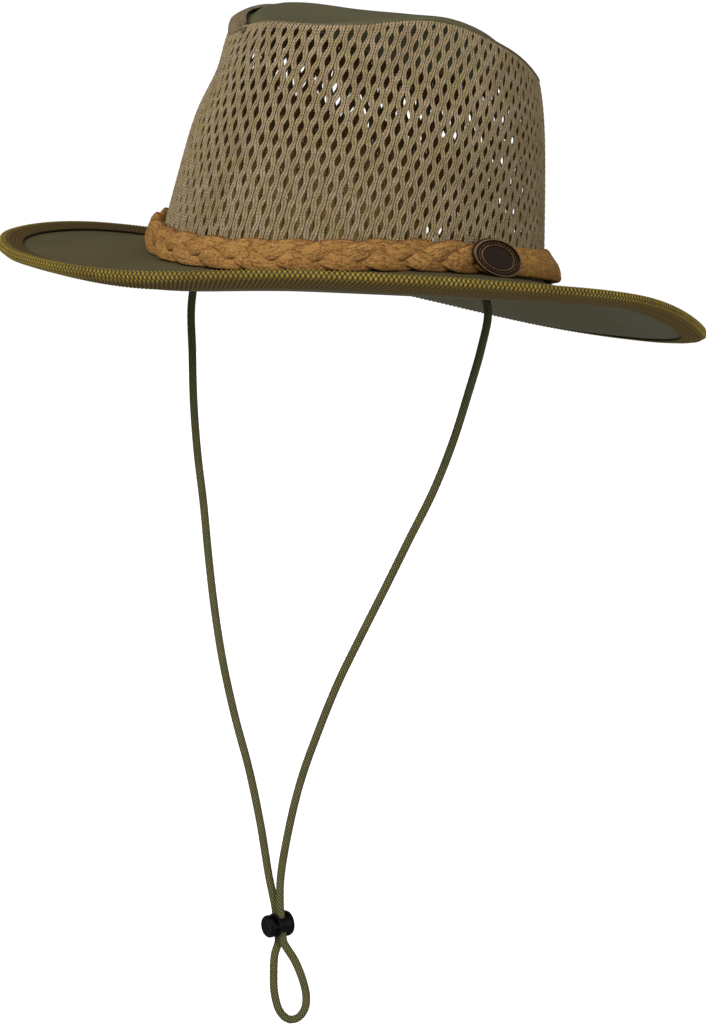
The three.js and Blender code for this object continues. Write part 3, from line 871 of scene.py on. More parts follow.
# %% Plaited band
BAND_HEIGHT, BAND_THICK = 14 * MM, 6 * MM
PLAIT_PERIOD = 56 * MM
THONG_WIDE, THONG_THICK = 8.9 * MM, 2.9 * MM
THONG_SWING, THONG_WEAVE = 3.2 * MM, 1.5 * MM
THONG_DOME, THONG_CRUMPLE, THONG_GRAIN, THONG_LOW = 0.9 * MM, 0.35 * MM, 0.2 * MM, 0.2 * MM
PLAIT_MIDDLE = BAND_HEIGHT / 2 - 0.3 * MM
PLAIT_FROM, PLAIT_TO = 142, 446
THONG_STEPS, THONG_SIDES, THONG_ROUND = 600, 24, 22 * MM
plait_turn = (PLAIT_TO - PLAIT_FROM) / 360
plait_length = foot_round * plait_turn


def rounded_box(turn, wide, thick, square=0.62):
    """A point of a strap's section: an oval that is nearly a box."""
    across = math.copysign(abs(math.cos(turn)) ** square, math.cos(turn)) * wide / 2
    out = math.copysign(abs(math.sin(turn)) ** square, math.sin(turn)) * thick / 2
    return across, out


def thong_corner(number, u, v):
    """A corner of a thong: u runs along the band and v round the thong's section."""
    phase = 2 * math.pi * (u * plait_length / PLAIT_PERIOD + number / 3)
    angle = foot_angle(PLAIT_FROM / 360 + u * plait_turn)
    slope = THONG_SWING * math.cos(phase) * 2 * math.pi / PLAIT_PERIOD
    turn = 2 * math.pi * v
    across, out = rounded_box(turn, THONG_WIDE, THONG_THICK)
    lump = Vector((u * 110, across * 260, math.sin(turn) + number * 7))
    crumple = THONG_CRUMPLE * noise.noise(lump) + THONG_GRAIN * noise.noise(lump * 2.8)
    dome = THONG_DOME * math.cos(math.pi * across / THONG_WIDE)
    out += (crumple + dome) * math.sin(turn)
    up = PLAIT_MIDDLE + THONG_SWING * math.sin(phase) + across * math.cos(math.atan(slope))
    back = math.degrees(-slope * across / foot_round * 2 * math.pi)
    out += GAP + BAND_THICK / 2 + THONG_WEAVE * math.sin(2 * phase)
    return beside_wall(angle + back, max(out, GAP), max(up, -THONG_LOW))


thongs = [
    wrapped(f"band_thong_{number + 1}", THONG_STEPS, THONG_SIDES,
            lambda u, v, number=number: thong_corner(number, u, v))
    for number in range(3)
]
for thong in thongs:
    close_ends(thong)
    size_uv(thong, plait_length, THONG_ROUND)
    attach(thong, "hat")
    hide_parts("hat_band")
    report(thong)

# %% [markdown]
# The two ends of the plait meet behind the badge, under one smooth wrap of the same suede. Its
# section is a quarter round in millimetres: full at the foot and thin at the top. A bevelled
# block could stand for it, but a section carried round the wall can swell and narrow on its way.

# %% Smooth wrap
WRAP_FROM, WRAP_TO, WRAP_MIDDLE = 78, 156, 7.2
WRAP_LOWERED, WRAP_PEAK, WRAP_PEAK_REACH = 0.14, 130, 18
WRAP_SLIM_AT, WRAP_SLIM_REACH, WRAP_SLIM, WRAP_SLIM_TOP = 122, 16, 0.08, 0.3
WRAP_CRUMPLE, WRAP_GRAIN, WRAP_LONG, WRAP_ROUND = 0.45 * MM, 0.3 * MM, 110 * MM, 40 * MM
WRAP_SECTION = [
    dict(out=0.1, up=2), dict(out=1.5, up=0), dict(out=4.5, up=-0.1), dict(out=7.2, up=0.4),
    dict(out=7.9, up=2), dict(out=7.7, up=4.4), dict(out=6.9, up=7.2), dict(out=5.4, up=10),
    dict(out=3.4, up=12.8), dict(out=1.8, up=14.3), dict(out=0.3, up=14.5), dict(out=0, up=8),
]


def ring_value(rows, column, place):
    """A column of a closed table of rows, carried smoothly: place goes from 0 to 1."""
    at = place % 1 * len(rows)
    row = int(at)
    share = at - row
    before, here, after, beyond = (rows[(row + k) % len(rows)][column] for k in (-1, 0, 1, 2))
    straight = mix(here, after, share)
    return straight + share * (1 - share) * ((1 - share) * (2 * here - before - after)
                                             + share * (2 * after - here - beyond)) / 2


def wrap_corner(u, v):
    """A corner of the wrap: u runs along the band and v round the wrap's section."""
    angle = mix(WRAP_FROM, WRAP_TO, u)
    full = (1 - abs(2 * u - 1) ** 5) ** 0.5
    low = 1 - WRAP_LOWERED * (1 - bell(angle - WRAP_PEAK, WRAP_PEAK_REACH))
    out = ring_value(WRAP_SECTION, "out", v) * MM * (0.5 + 0.5 * full)
    above = (ring_value(WRAP_SECTION, "up", v) - WRAP_MIDDLE) * MM * (0.6 + 0.4 * full)
    up = (WRAP_MIDDLE * MM + above) * low
    slim = bell(angle - WRAP_SLIM_AT, WRAP_SLIM_REACH)
    out *= 1 - slim * (WRAP_SLIM + WRAP_SLIM_TOP * eased(up, 7 * MM, 15 * MM))
    lump = Vector((u * 14, out * 200, up * 200))
    out += WRAP_CRUMPLE * noise.noise(lump) + WRAP_GRAIN * noise.noise(lump * 3)
    return beside_wall(angle, GAP + max(out, 0), up)


band_wrap = wrapped("band_wrap", 150, 56, wrap_corner)
size_uv(band_wrap, WRAP_LONG, WRAP_ROUND)
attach(band_wrap, "hat")
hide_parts("hat_band")
report(band_wrap)

# %% [markdown]
# The badge is an oval of dark pressed leather with a raised rim, and its field is left bare.
# Inside the rim runs a ring of small pearls. A flat disc would stand off the round crown, so
# the badge is a grid laid on the band's own curve. Its u runs round the oval, and its v from
# the middle of the back, round the rim, to the middle of the face.

# %% Badge
BADGE_ANGLE, BADGE_TILT = 82, math.radians(11)
BADGE_X, BADGE_Z, BADGE_RISE = 16.2 * MM, 8.1 * MM, 7.8 * MM
BADGE_STAND, FACE_FROM = 0.9 * MM, 6
BADGE_ROUND, BADGE_DEEP = 80 * MM, 30 * MM
PEARLS, PEARL_REACH, PEARL_WIDE, PEARL_HIGH = 36, 0.775, 0.035, 0.7 * MM
BADGE_SECTION = [
    dict(reach=0, out=0), dict(reach=0.9, out=0), dict(reach=1, out=0.4), dict(reach=1.005, out=1.5),
    dict(reach=0.98, out=2.1), dict(reach=0.94, out=2.3), dict(reach=0.9, out=2.1),
    dict(reach=0.87, out=1.4), dict(reach=0.83, out=1.2), dict(reach=0.8, out=1.2),
    dict(reach=0.775, out=1.2), dict(reach=0.75, out=1.2), dict(reach=0.72, out=1.2),
    dict(reach=0.69, out=1.5), dict(reach=0.66, out=1.75), dict(reach=0.63, out=1.5),
    dict(reach=0.6, out=1.2), dict(reach=0.4, out=1.3), dict(reach=0, out=1.45),
]


def badge_corner(u, v):
    place = v * (len(BADGE_SECTION) - 1)
    k = min(int(place), len(BADGE_SECTION) - 2)
    here, after = BADGE_SECTION[k], BADGE_SECTION[k + 1]
    reach = mix(here["reach"], after["reach"], place - k)
    lift = mix(here["out"], after["out"], place - k) * MM
    turn = 2 * math.pi * u
    if k > FACE_FROM:
        pearl = bell(reach - PEARL_REACH, PEARL_WIDE) * (0.5 + 0.5 * math.cos(turn * PEARLS))
        lift += PEARL_HIGH * pearl
    along, up = reach * BADGE_X * math.sin(turn), reach * BADGE_Z * math.cos(turn)
    sideways = along * math.cos(BADGE_TILT) + up * math.sin(BADGE_TILT)
    upright = up * math.cos(BADGE_TILT) - along * math.sin(BADGE_TILT)
    out = 2 * GAP + BAND_THICK + BADGE_STAND + lift
    return beside_wall(BADGE_ANGLE + math.degrees(sideways / FOOT_Y), out, BADGE_RISE + upright)


badge = wrapped("badge_oval", 6 * PEARLS, 3 * (len(BADGE_SECTION) - 1), badge_corner)
size_uv(badge, BADGE_ROUND, BADGE_DEEP)
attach(badge, "hat")
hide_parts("badge")
report(badge)

# %% [markdown]
# The cord lock is two turned pieces of black plastic with square holes through them: a drum
# with a slot for both strands, and a button whose flat tongue reaches into the drum. They could
# be built up from cylinders, but a profile spun round the lock's axis has its grooves and soft
# edges at once. The holes are cut with boolean boxes.

# %% Cord lock sizes
CORD_ROOM, MOUTH_WALL, BACK_WALL = 0.5 * MM, 1.1 * MM, 0.7 * MM
LOCK_TIP, LOCK_TRAVEL = 0.7 * MM, 1 * MM
TONGUE_SIDE, TONGUE_THICK = 0.5 * MM, 2.4 * MM
CAP_DIAMETER, CAP_THICK = 10.6 * MM, 2.6 * MM
pair_wide = 2 * CORD_DIAMETER + STRAND_GAP + 2 * CORD_ROOM
pair_deep = CORD_DIAMETER + 2 * CORD_ROOM
slot_front, slot_back = -pair_deep / 2, pair_deep / 2
mouth = slot_front - MOUTH_WALL
tip_end = slot_back + LOCK_TIP
pocket_end = tip_end + LOCK_TRAVEL + GAP
tongue_wide = pair_wide + 2 * TONGUE_SIDE
print("slot for both strands", round(pair_wide / MM, 1), "by", round(pair_deep / MM, 1), "mm")


# %% Spinning, cutting and softening
def spun(profile):
    """Spin a profile of reach and place round the lock's own axis."""
    bm = bmesh.new()
    verts = [bm.verts.new((row["reach"], row["at"], 0)) for row in profile]
    edges = [bm.edges.new(pair) for pair in zip(verts, verts[1:])]
    bmesh.ops.spin(bm, geom=verts + edges, cent=(0, 0, 0), axis=(0, 1, 0), dvec=(0, 0, 0),
                   angle=2 * math.pi, steps=56, use_merge=True, use_duplicate=False)
    bmesh.ops.remove_doubles(bm, verts=bm.verts, dist=JOIN)
    bmesh.ops.recalc_face_normals(bm, faces=bm.faces)
    return bm


def block(low, high):
    """A box from its low to its high corner, as an object to cut or join with."""
    bm = bmesh.new()
    bmesh.ops.create_cube(bm, size=1)
    low, high = Vector(low), Vector(high)
    for vert in bm.verts:
        vert.co = (low + high) / 2 + Vector(a * b for a, b in zip(vert.co, high - low))
    return finish_piece(bm, "cutting_block", smooth=False)


def combine(piece, tool, operation):
    """Cut or join with a boolean and keep only the result."""
    modifier = piece.modifiers.new(operation, "BOOLEAN")
    modifier.object = tool
    modifier.operation = operation
    modifier.solver = "EXACT"
    result = bpy.data.meshes.new_from_object(piece.evaluated_get(bpy.context.evaluated_depsgraph_get()))
    piece.modifiers.clear()
    piece.data = result
    bpy.data.objects.remove(tool)


def set_in_place(piece, bevel):
    """Soften the edges and carry the piece from the lock's axes to the hat's."""
    bm = bmesh.new()
    bm.from_mesh(piece.data)
    bmesh.ops.remove_doubles(bm, verts=bm.verts, dist=JOIN)
    sharp = [edge for edge in bm.edges if edge.is_manifold and edge.calc_face_angle() > 0.7]
    bmesh.ops.bevel(bm, geom=sharp, offset=bevel, affect="EDGES", segments=2, profile=0.5, material=-1)
    bmesh.ops.transform(bm, matrix=lock_turn.to_4x4(), verts=bm.verts)
    bmesh.ops.translate(bm, vec=LOCK_CENTRE, verts=bm.verts)
    for face in bm.faces:
        face.smooth = True
    bm.to_mesh(piece.data)
    bm.free()
    piece.data.shade_smooth()
    piece.data.set_sharp_from_angle(angle=math.radians(35))


# %% Lock drum
radius = LOCK_DIAMETER / 2
drum_end = pocket_end + BACK_WALL
drum_profile = [
    dict(reach=0, at=mouth), dict(reach=radius * 0.84, at=mouth),
    dict(reach=radius * 0.92, at=mouth + 0.4 * MM), dict(reach=radius * 0.92, at=mouth + 2 * MM),
    dict(reach=radius * 0.93, at=slot_back - 1 * MM), dict(reach=radius * 0.99, at=slot_back),
    dict(reach=radius, at=slot_back + 0.8 * MM), dict(reach=radius, at=drum_end - 1.1 * MM),
    dict(reach=radius * 0.94, at=drum_end - 0.3 * MM), dict(reach=radius * 0.84, at=drum_end),
    dict(reach=0, at=drum_end),
]
lock_drum = finish_piece(spun(drum_profile), "lock_drum")
room = tongue_wide / 2 + GAP
combine(lock_drum, block((-room, mouth - 3 * MM, -TONGUE_THICK / 2 - GAP),
                         (room, pocket_end, TONGUE_THICK / 2 + GAP)), "DIFFERENCE")
combine(lock_drum, block((-pair_wide / 2, slot_front, -2 * radius),
                         (pair_wide / 2, slot_back, 2 * radius)), "DIFFERENCE")
set_in_place(lock_drum, 0.15 * MM)
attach(lock_drum, "hat")
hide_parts("lock_body")
report(lock_drum)

# %% [markdown]
# The button is the one hard piece that moves: it slides in along the drum's axis when it is
# pressed. So it is a piece of its own that rides on its own body, and its tongue has a window
# that both strands pass through.

# %% Lock button
cap_radius = CAP_DIAMETER / 2
cap_back = mouth - LOCK_TRAVEL - GAP
cap_front = cap_back - CAP_THICK
button_profile = [
    dict(reach=0, at=cap_front + 0.3 * MM), dict(reach=cap_radius * 0.62, at=cap_front + 0.15 * MM),
    dict(reach=cap_radius * 0.8, at=cap_front), dict(reach=cap_radius * 0.93, at=cap_front + 0.35 * MM),
    dict(reach=cap_radius, at=cap_front + 0.9 * MM), dict(reach=cap_radius, at=cap_back - 0.4 * MM),
    dict(reach=cap_radius * 0.94, at=cap_back), dict(reach=0, at=cap_back),
]
lock_button = finish_piece(spun(button_profile), "lock_button_cap")
combine(lock_button, block((-tongue_wide / 2, cap_back - 1 * MM, -TONGUE_THICK / 2),
                           (tongue_wide / 2, tip_end, TONGUE_THICK / 2)), "UNION")
combine(lock_button, block((-pair_wide / 2, slot_front - LOCK_TRAVEL, -TONGUE_THICK),
                           (pair_wide / 2, slot_back, TONGUE_THICK)), "DIFFERENCE")
set_in_place(lock_button, 0.12 * MM)
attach(lock_button, "lock_button")
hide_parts("lock_slide")
report(lock_button)

# %% [markdown]
# How low the cord hangs is printed. Its length is measured along the line that was made above.

# %% Cord facts
print("the cord hangs to", round(min(p.z for p in cord_line), 4))

# %% [markdown]
# Now the finishes. Nodes could be wired by hand in the Shader Editor, but written down they can
# be built again in each run. A small helper writes them in the order that they are thought of,
# and the effects that several materials share are node groups with named sockets: a soft
# mottle, a weave and a braid of lozenges.

# %% Shader helper
class Graph:
    """Adds nodes to one node tree and links what it is given."""

    def __init__(self, tree):
        self.tree = tree

    def feed(self, socket, value):
        if isinstance(value, bpy.types.NodeSocket):
            self.tree.links.new(value, socket)
        else:
            socket.default_value = value

    def add(self, kind, inputs=None, **settings):
        node = self.tree.nodes.new("ShaderNode" + kind)
        for key, value in settings.items():
            setattr(node, key, value)
        for key, value in (inputs or {}).items():
            self.feed(node.inputs[key], value)
        return node

    def math(self, operation, first, second=0.0, clamp=False):
        node = self.add("Math", {0: first, 1: second}, operation=operation, use_clamp=clamp)
        return node.outputs[0]

    def blend(self, share, first, second):
        node = self.add("Mix", data_type="RGBA")
        self.feed(node.inputs["Factor"], share)
        self.feed(node.inputs[6], first)
        self.feed(node.inputs[7], second)
        return node.outputs[2]

    def steps(self, share, low, high):
        """Stretch a value so that low becomes 0 and high becomes 1."""
        node = self.add("MapRange", {0: share, 1: low, 2: high, 3: 0.0, 4: 1.0}, clamp=True)
        return node.outputs[0]

    def noise(self, vector, scale, detail=3.0, rough=0.6):
        sockets = {"Vector": vector, "Scale": scale, "Detail": detail, "Roughness": rough}
        return self.add("TexNoise", sockets).outputs["Fac"]


def new_group(name, inputs, outputs):
    """A shader node group with named sockets, and its graph."""
    tree = bpy.data.node_groups.new(name, "ShaderNodeTree")
    for label, kind, value in inputs:
        socket = tree.interface.new_socket(name=label, in_out="INPUT", socket_type="NodeSocket" + kind)
        socket.default_value = value
    for label, kind in outputs:
        tree.interface.new_socket(name=label, in_out="OUTPUT", socket_type="NodeSocket" + kind)
    graph = Graph(tree)
    enter = tree.nodes.new("NodeGroupInput")
    leave = tree.nodes.new("NodeGroupOutput")
    print("shared effect", name)
    return tree, graph, enter.outputs, leave.inputs


def rgb(red, green, blue):
    """A screen colour, 0 to 255, as the linear colour that shaders mix."""
    parts = [value / 255 for value in (red, green, blue)]
    return tuple(p / 12.92 if p <= 0.04045 else ((p + 0.055) / 1.055) ** 2.4 for p in parts) + (1.0,)


# %% [markdown]
# No cloth, leather or plastic has one flat colour. The mottle mixes a light and a dark tone with
# a broad noise and a fine one, and gives its mask out too, for a bump.

# %% Shared effect: soft mottle
mottle_tree, graph, enter, leave = new_group(
    "soft_mottle",
    [("Light", "Color", (1, 1, 1, 1)), ("Dark", "Color", (0, 0, 0, 1)),
     ("Scale", "Float", 40.0), ("Amount", "Float", 0.5)],
    [("Color", "Color"), ("Mask", "Float")],
)
place = graph.add("TexCoord").outputs["Object"]
broad = graph.noise(place, enter["Scale"], 4.0, 0.62)
fine = graph.noise(place, graph.math("MULTIPLY", enter["Scale"], 9.0), 2.0, 0.7)
mask = graph.math("ADD", graph.math("MULTIPLY", broad, 0.65), graph.math("MULTIPLY", fine, 0.35))
mask = graph.steps(mask, 0.32, 0.68)
share = graph.math("MULTIPLY", mask, enter["Amount"])
graph.feed(leave["Color"], graph.blend(share, enter["Light"], enter["Dark"]))
graph.feed(leave["Mask"], mask)

# %% [markdown]
# Canvas is a plain weave, which is two sine waves that cross. An image could be tiled instead,
# but its tiles would show. The waves are drawn on the piece's own UV map, in metres.

# %% Shared effect: weave
weave_tree, graph, enter, leave = new_group(
    "plain_weave",
    [("Threads", "Float", 1400.0)],
    [("Height", "Float")],
)
uv = graph.add("UVMap", uv_map="wrap").outputs[0]
split = graph.add("SeparateXYZ", {0: uv})
FULL_TURN = 6.283
turns = graph.math("MULTIPLY", enter["Threads"], FULL_TURN)
warp = graph.math("SINE", graph.math("MULTIPLY", split.outputs[0], turns))
weft = graph.math("SINE", graph.math("MULTIPLY", split.outputs[1], turns))
graph.feed(leave["Height"], graph.math("MULTIPLY", warp, weft))

# %% [markdown]
# The tape and the cord are braids: two sets of strands cross at a slant, and each strand that
# lies on top shows as a lozenge. Two cosine waves that run at opposite slants make the lozenge,
# and one of them alone makes a hatch.

# %% Shared effect: braid
braid_tree, graph, enter, leave = new_group(
    "braid_lozenges",
    [("Along", "Float", 300.0), ("Across", "Float", 240.0), ("Centre", "Float", 0.0)],
    [("Lozenge", "Float"), ("Hatch", "Float"), ("Across", "Float")],
)
uv = graph.add("UVMap", uv_map="wrap").outputs[0]
split = graph.add("SeparateXYZ", {0: uv})
along = graph.math("MULTIPLY", split.outputs[0], enter["Along"])
offset = graph.math("SUBTRACT", split.outputs[1], enter["Centre"])
across = graph.math("MULTIPLY", offset, enter["Across"])
rising = graph.math("COSINE", graph.math("MULTIPLY", graph.math("ADD", along, across), math.pi))
falling = graph.math("COSINE", graph.math("MULTIPLY", graph.math("SUBTRACT", along, across), math.pi))
product = graph.math("MULTIPLY", rising, falling)
graph.feed(leave["Lozenge"], graph.math("MULTIPLY", product, product))
graph.feed(leave["Hatch"], graph.math("MULTIPLY", rising, rising))
graph.feed(leave["Across"], offset)


# %% [markdown]
# Each finish is a Principled shader. What is the same all over the piece is set on the shader's
# own sockets, and only what changes over the surface is linked to it.

# %% Material maker
def new_material(name, roughness, **plain):
    """A material with a Principled shader, whose plain sockets hold one value all over."""
    material = bpy.data.materials.new(name)
    material.use_nodes = True
    graph = Graph(material.node_tree)
    shader = material.node_tree.nodes["Principled BSDF"]
    shader.inputs["Roughness"].default_value = roughness
    for key, value in plain.items():
        shader.inputs[key.replace("_", " ")].default_value = value
    print("finish", name, "roughness", roughness)
    return material, graph, shader


def use_group(graph, tree, **values):
    node = graph.tree.nodes.new("ShaderNodeGroup")
    node.node_tree = tree
    for key, value in values.items():
        graph.feed(node.inputs[key], value)
    return node.outputs


def bump(graph, shader, height, distance):
    node = graph.add("Bump", {"Height": height, "Distance": distance, "Strength": 1.0})
    graph.feed(shader.inputs["Normal"], node.outputs[0])


# %% [markdown]
# The net's yarn is a mix of olive and rosy tan. Along every strand run two rows of chain
# stitches, so a chevron is drawn from the strand's own UV map: its first coordinate runs
# round the strand, and its second is the height in metres. Stitches of real mesh would need
# millions of faces for a difference that only a close look shows.

# %% Net yarn
STITCH_HEIGHT = 1.35 * MM


def make_yarn(name, lanes, inside_from):
    """Chained yarn: lanes is how many rows of stitches one unit of the UV's first axis has.

    From inside_from on, that axis is on the inside of the hat. There the yarn is painted dark
    as shade, and paler at the foot of the wearer's right side, as painted light.
    """
    material, graph, shader = new_material(name, 0.9, Specular_IOR_Level=0.15)
    uv = graph.add("UVMap", uv_map="wrap").outputs[0]
    split = graph.add("SeparateXYZ", {0: uv})
    lane = graph.math("FRACT", graph.math("MULTIPLY", split.outputs[0], lanes))
    border = graph.math("MULTIPLY", graph.math("ABSOLUTE", graph.math("SUBTRACT", lane, 0.5)), 2.0)
    ladder = graph.math("MULTIPLY", split.outputs[1], 1 / STITCH_HEIGHT)
    chevron = graph.math("ADD", ladder, graph.math("MULTIPLY", border, 0.6))
    wave = graph.math("SINE", graph.math("MULTIPLY", chevron, 2 * math.pi))
    stitch = graph.math("ADD", graph.math("MULTIPLY", wave, 0.5), 0.5)
    place = graph.add("TexCoord").outputs["Object"]
    mottle = use_group(graph, mottle_tree, Scale=90.0, Amount=0.9,
                       Light=rgb(184, 164, 136), Dark=rgb(140, 119, 88))
    tint = graph.steps(graph.noise(place, 150.0, 2.0), 0.42, 0.58)
    yarn = graph.blend(graph.math("MULTIPLY", tint, 0.45), mottle["Color"], rgb(152, 142, 92))
    # Painted shade: the yarn is darker in the dips of the stitches and where its two rows of chains meet.
    # The fine grain mixed in with it is the yarn's own tone.
    seam = graph.math("POWER", border, 3.0)
    grain = graph.steps(graph.noise(place, 900.0, 2.0, 0.8), 0.4, 0.62)
    painted_groove_shade = graph.math("ADD", graph.math("MULTIPLY", stitch, 0.3), graph.math("MULTIPLY", seam, 0.35))
    shade = graph.math("ADD", painted_groove_shade, graph.math("MULTIPLY", grain, 0.35), clamp=True)
    face = graph.blend(shade, yarn, rgb(84, 66, 36))
    # Inside the hat: painted shade, with painted light low on the wearer's right side.
    within = graph.math("GREATER_THAN", split.outputs[0], inside_from)
    body = graph.add("SeparateXYZ", {0: place})
    rightward = graph.steps(body.outputs[0], -24 * MM, -54 * MM)
    foot = graph.steps(body.outputs[2], 58 * MM, 26 * MM)
    painted_lit_inside = graph.blend(graph.math("MULTIPLY", shade, 0.9), rgb(166, 136, 78), rgb(84, 60, 24))
    inside = graph.blend(graph.math("MULTIPLY", rightward, foot), rgb(80, 56, 24), painted_lit_inside)
    graph.feed(shader.inputs["Base Color"], graph.blend(within, face, inside))
    height = graph.math("SUBTRACT", graph.math("SUBTRACT", 1.0, stitch), seam)
    bump(graph, shader, height, 0.3 * MM)
    return material


net_yarn = make_yarn("net_yarn", 3.0, 0.7)
welt_yarn = make_yarn("welt_yarn", 1 / WELT_CHAIN, 1.0)
for piece in net_pieces:
    dress(piece, net_yarn)
dress(welt, welt_yarn)

# %% [markdown]
# The canvas is dull and close woven, a little browner on the brim's upper face than below it.
# The thread is finer than the picture shows, so the weave is only a bump under a soft mottle.

# %% Canvas
def make_canvas(name, light, dark):
    material, graph, shader = new_material(name, 0.85, Specular_IOR_Level=0.12)
    mottle = use_group(graph, mottle_tree, Light=light, Dark=dark, Scale=22.0, Amount=0.8)
    weave = use_group(graph, weave_tree, Threads=900.0)
    graph.feed(shader.inputs["Base Color"], mottle["Color"])
    height = graph.math("ADD", graph.math("MULTIPLY", weave["Height"], 0.35), mottle["Mask"])
    bump(graph, shader, height, 0.12 * MM)
    return material


canvas_top = make_canvas("canvas_top", rgb(92, 89, 64), rgb(80, 76, 54))
canvas_brim = make_canvas("canvas_brim", rgb(86, 78, 50), rgb(72, 65, 40))
canvas_under = make_canvas("canvas_under", rgb(90, 88, 66), rgb(74, 72, 52))
dress(crown_top, canvas_top)
dress(brim, canvas_brim, canvas_under)

# %% [markdown]
# The tape's braid has bright yellow-green lozenges on the edge and the upper face. Underneath and
# along its inner rows it is painted browner and darker, as shade. Towards the wearer's right the painted
# light reaches further under, and so do the lozenges. The colours use the same count of lozenges as the
# bumps in the mesh.

# %% Tape finish
tape_finish, graph, shader = new_material("edge_tape", 0.75, Specular_IOR_Level=0.2)
middle = (outer_start + outer_end) / 2
braid = use_group(graph, braid_tree, Centre=middle,
                  Along=LOZENGES_ROUND / edge_round, Across=0.5 / LOZENGE_ROW)
mottle = use_group(graph, mottle_tree, Scale=50.0, Amount=0.9,
                   Light=rgb(141, 123, 48), Dark=rgb(104, 86, 30))
lozenge = graph.steps(braid["Lozenge"], 0.02, 0.3)
edge_colour = graph.blend(lozenge, rgb(50, 37, 9), mottle["Color"])
# Painted shade: the underside and the inner rows are darker copies of the braid. Towards the wearer's
# right, painted light reaches further under.
shaded_under_colour = graph.blend(graph.steps(braid["Hatch"], 0.3, 0.8), rgb(60, 44, 12), rgb(92, 75, 26))
body = graph.add("SeparateXYZ", {0: graph.add("TexCoord").outputs["Object"]})
wide = graph.math("MULTIPLY", graph.steps(body.outputs[0], 45 * MM, -40 * MM), 4.5 * MM)
shaded_under_share = graph.steps(graph.math("SUBTRACT", braid["Across"], wide), 2 * MM, 4 * MM)
shaded_inner_share = graph.math("SUBTRACT", 1.0, graph.steps(braid["Across"], -6 * MM, -2 * MM))
shaded_inner_colour = graph.blend(graph.steps(braid["Lozenge"], 0.05, 0.4), rgb(43, 32, 10), rgb(74, 58, 20))
outer_colour = graph.blend(shaded_inner_share, edge_colour, shaded_inner_colour)
graph.feed(shader.inputs["Base Color"], graph.blend(shaded_under_share, outer_colour, shaded_under_colour))
bump(graph, shader, braid["Lozenge"], 0.2 * MM)
dress(edge_tape, tape_finish)

# %% [markdown]
# Suede has a short nap that speckles in the light, with fine dark creases along the thong. A
# little sheen stands for the nap seen edge on. The thongs' two edges fold under their
# neighbours, and painted shade darkens them there. The smooth wrap has no such edges.

# %% Suede
def make_suede(name, light, dark, edge_shade):
    """Napped leather: the last argument is how far painted shade darkens a thong's two edges."""
    material, graph, shader = new_material(name, 0.95, Specular_IOR_Level=0.1, Sheen_Weight=0.1)
    shader.inputs["Sheen Roughness"].default_value = 0.6
    shader.inputs["Sheen Tint"].default_value = rgb(220, 160, 90)
    mottle = use_group(graph, mottle_tree, Light=light, Dark=dark, Scale=90.0, Amount=0.9)
    place = graph.add("TexCoord").outputs["Object"]
    nap = graph.noise(place, 1300.0, 3.0, 0.75)
    uv = graph.add("UVMap", uv_map="wrap").outputs[0]
    along = graph.add("VectorMath", {0: uv, 1: (110.0, 620.0, 1.0)}, operation="MULTIPLY").outputs[0]
    crease = graph.noise(along, 1.0, 4.0, 0.65)
    line = graph.steps(graph.math("ABSOLUTE", graph.math("SUBTRACT", crease, 0.5)), 0.0, 0.02)
    speckle = graph.steps(nap, 0.36, 0.62)
    fur = graph.blend(speckle, rgb(128, 90, 46), mottle["Color"])
    creased = graph.blend(line, rgb(98, 64, 30), fur)
    # Painted shade on the thong's two edges, where they fold under their neighbours.
    section = graph.add("SeparateXYZ", {0: uv}).outputs[1]
    across = graph.math("COSINE", graph.math("MULTIPLY", section, 2 * math.pi / THONG_ROUND))
    edge = graph.steps(graph.math("ABSOLUTE", across), 0.72, 0.98)
    shaded_edges = graph.math("MULTIPLY", edge, edge_shade)
    graph.feed(shader.inputs["Base Color"], graph.blend(shaded_edges, creased, rgb(84, 50, 20)))
    height = graph.math("ADD", graph.math("MULTIPLY", nap, 0.5), graph.math("MULTIPLY", line, 0.5))
    bump(graph, shader, height, 0.35 * MM)
    return material


thong_suede = make_suede("suede", rgb(180, 137, 80), rgb(140, 101, 52), 0.75)
wrap_suede = make_suede("suede_wrap", rgb(186, 144, 74), rgb(146, 106, 50), 0.0)
for thong in thongs:
    dress(thong, thong_suede)
dress(band_wrap, wrap_suede)

# %% [markdown]
# Pressed leather is nearly black, and only its raised parts are painted paler, as highlights.
# The raised rows are found from the badge's own UV map, which has the section's rows as its
# second coordinate, so the painted highlight lies on the rim, on the inner line and on each pearl.

# %% Badge leather
RIM_ROW, PEARL_ROW, LINE_ROW = 4.8, 10, 14
badge_finish, graph, shader = new_material("badge_leather", 0.45, Specular_IOR_Level=0.18)
mottle = use_group(graph, mottle_tree, Scale=160.0, Amount=0.8,
                   Light=rgb(46, 27, 12), Dark=rgb(20, 9, 2))
split = graph.add("SeparateXYZ", {0: graph.add("UVMap", uv_map="wrap").outputs[0]})
row = graph.math("MULTIPLY", split.outputs[1], (len(BADGE_SECTION) - 1) / BADGE_DEEP)


def highlit_row(centre, wide):
    """A mask of the painted highlight on the badge's raised rows, round one row of its section."""
    away = graph.math("ABSOLUTE", graph.math("SUBTRACT", row, centre))
    return graph.math("SUBTRACT", 1.0, graph.steps(away, wide / 2, wide))


turned = graph.math("MULTIPLY", split.outputs[0], 2 * math.pi * PEARLS / BADGE_ROUND)
pearl = graph.steps(graph.math("COSINE", turned), -0.2, 0.6)
pearls = graph.math("MULTIPLY", highlit_row(PEARL_ROW, 1.0), pearl)
rims = graph.math("ADD", highlit_row(RIM_ROW, 0.9), highlit_row(LINE_ROW, 0.8))
raised = graph.math("ADD", pearls, rims, clamp=True)
patchy = graph.math("SUBTRACT", 1.0, graph.math("MULTIPLY", mottle["Mask"], 0.5))
painted_highlight = graph.math("MULTIPLY", raised, patchy)
# The raised rows get a paler colour as a painted highlight.
graph.feed(shader.inputs["Base Color"], graph.blend(painted_highlight, mottle["Color"], rgb(132, 104, 70)))
bump(graph, shader, mottle["Mask"], 0.15 * MM)
dress(badge, badge_finish)
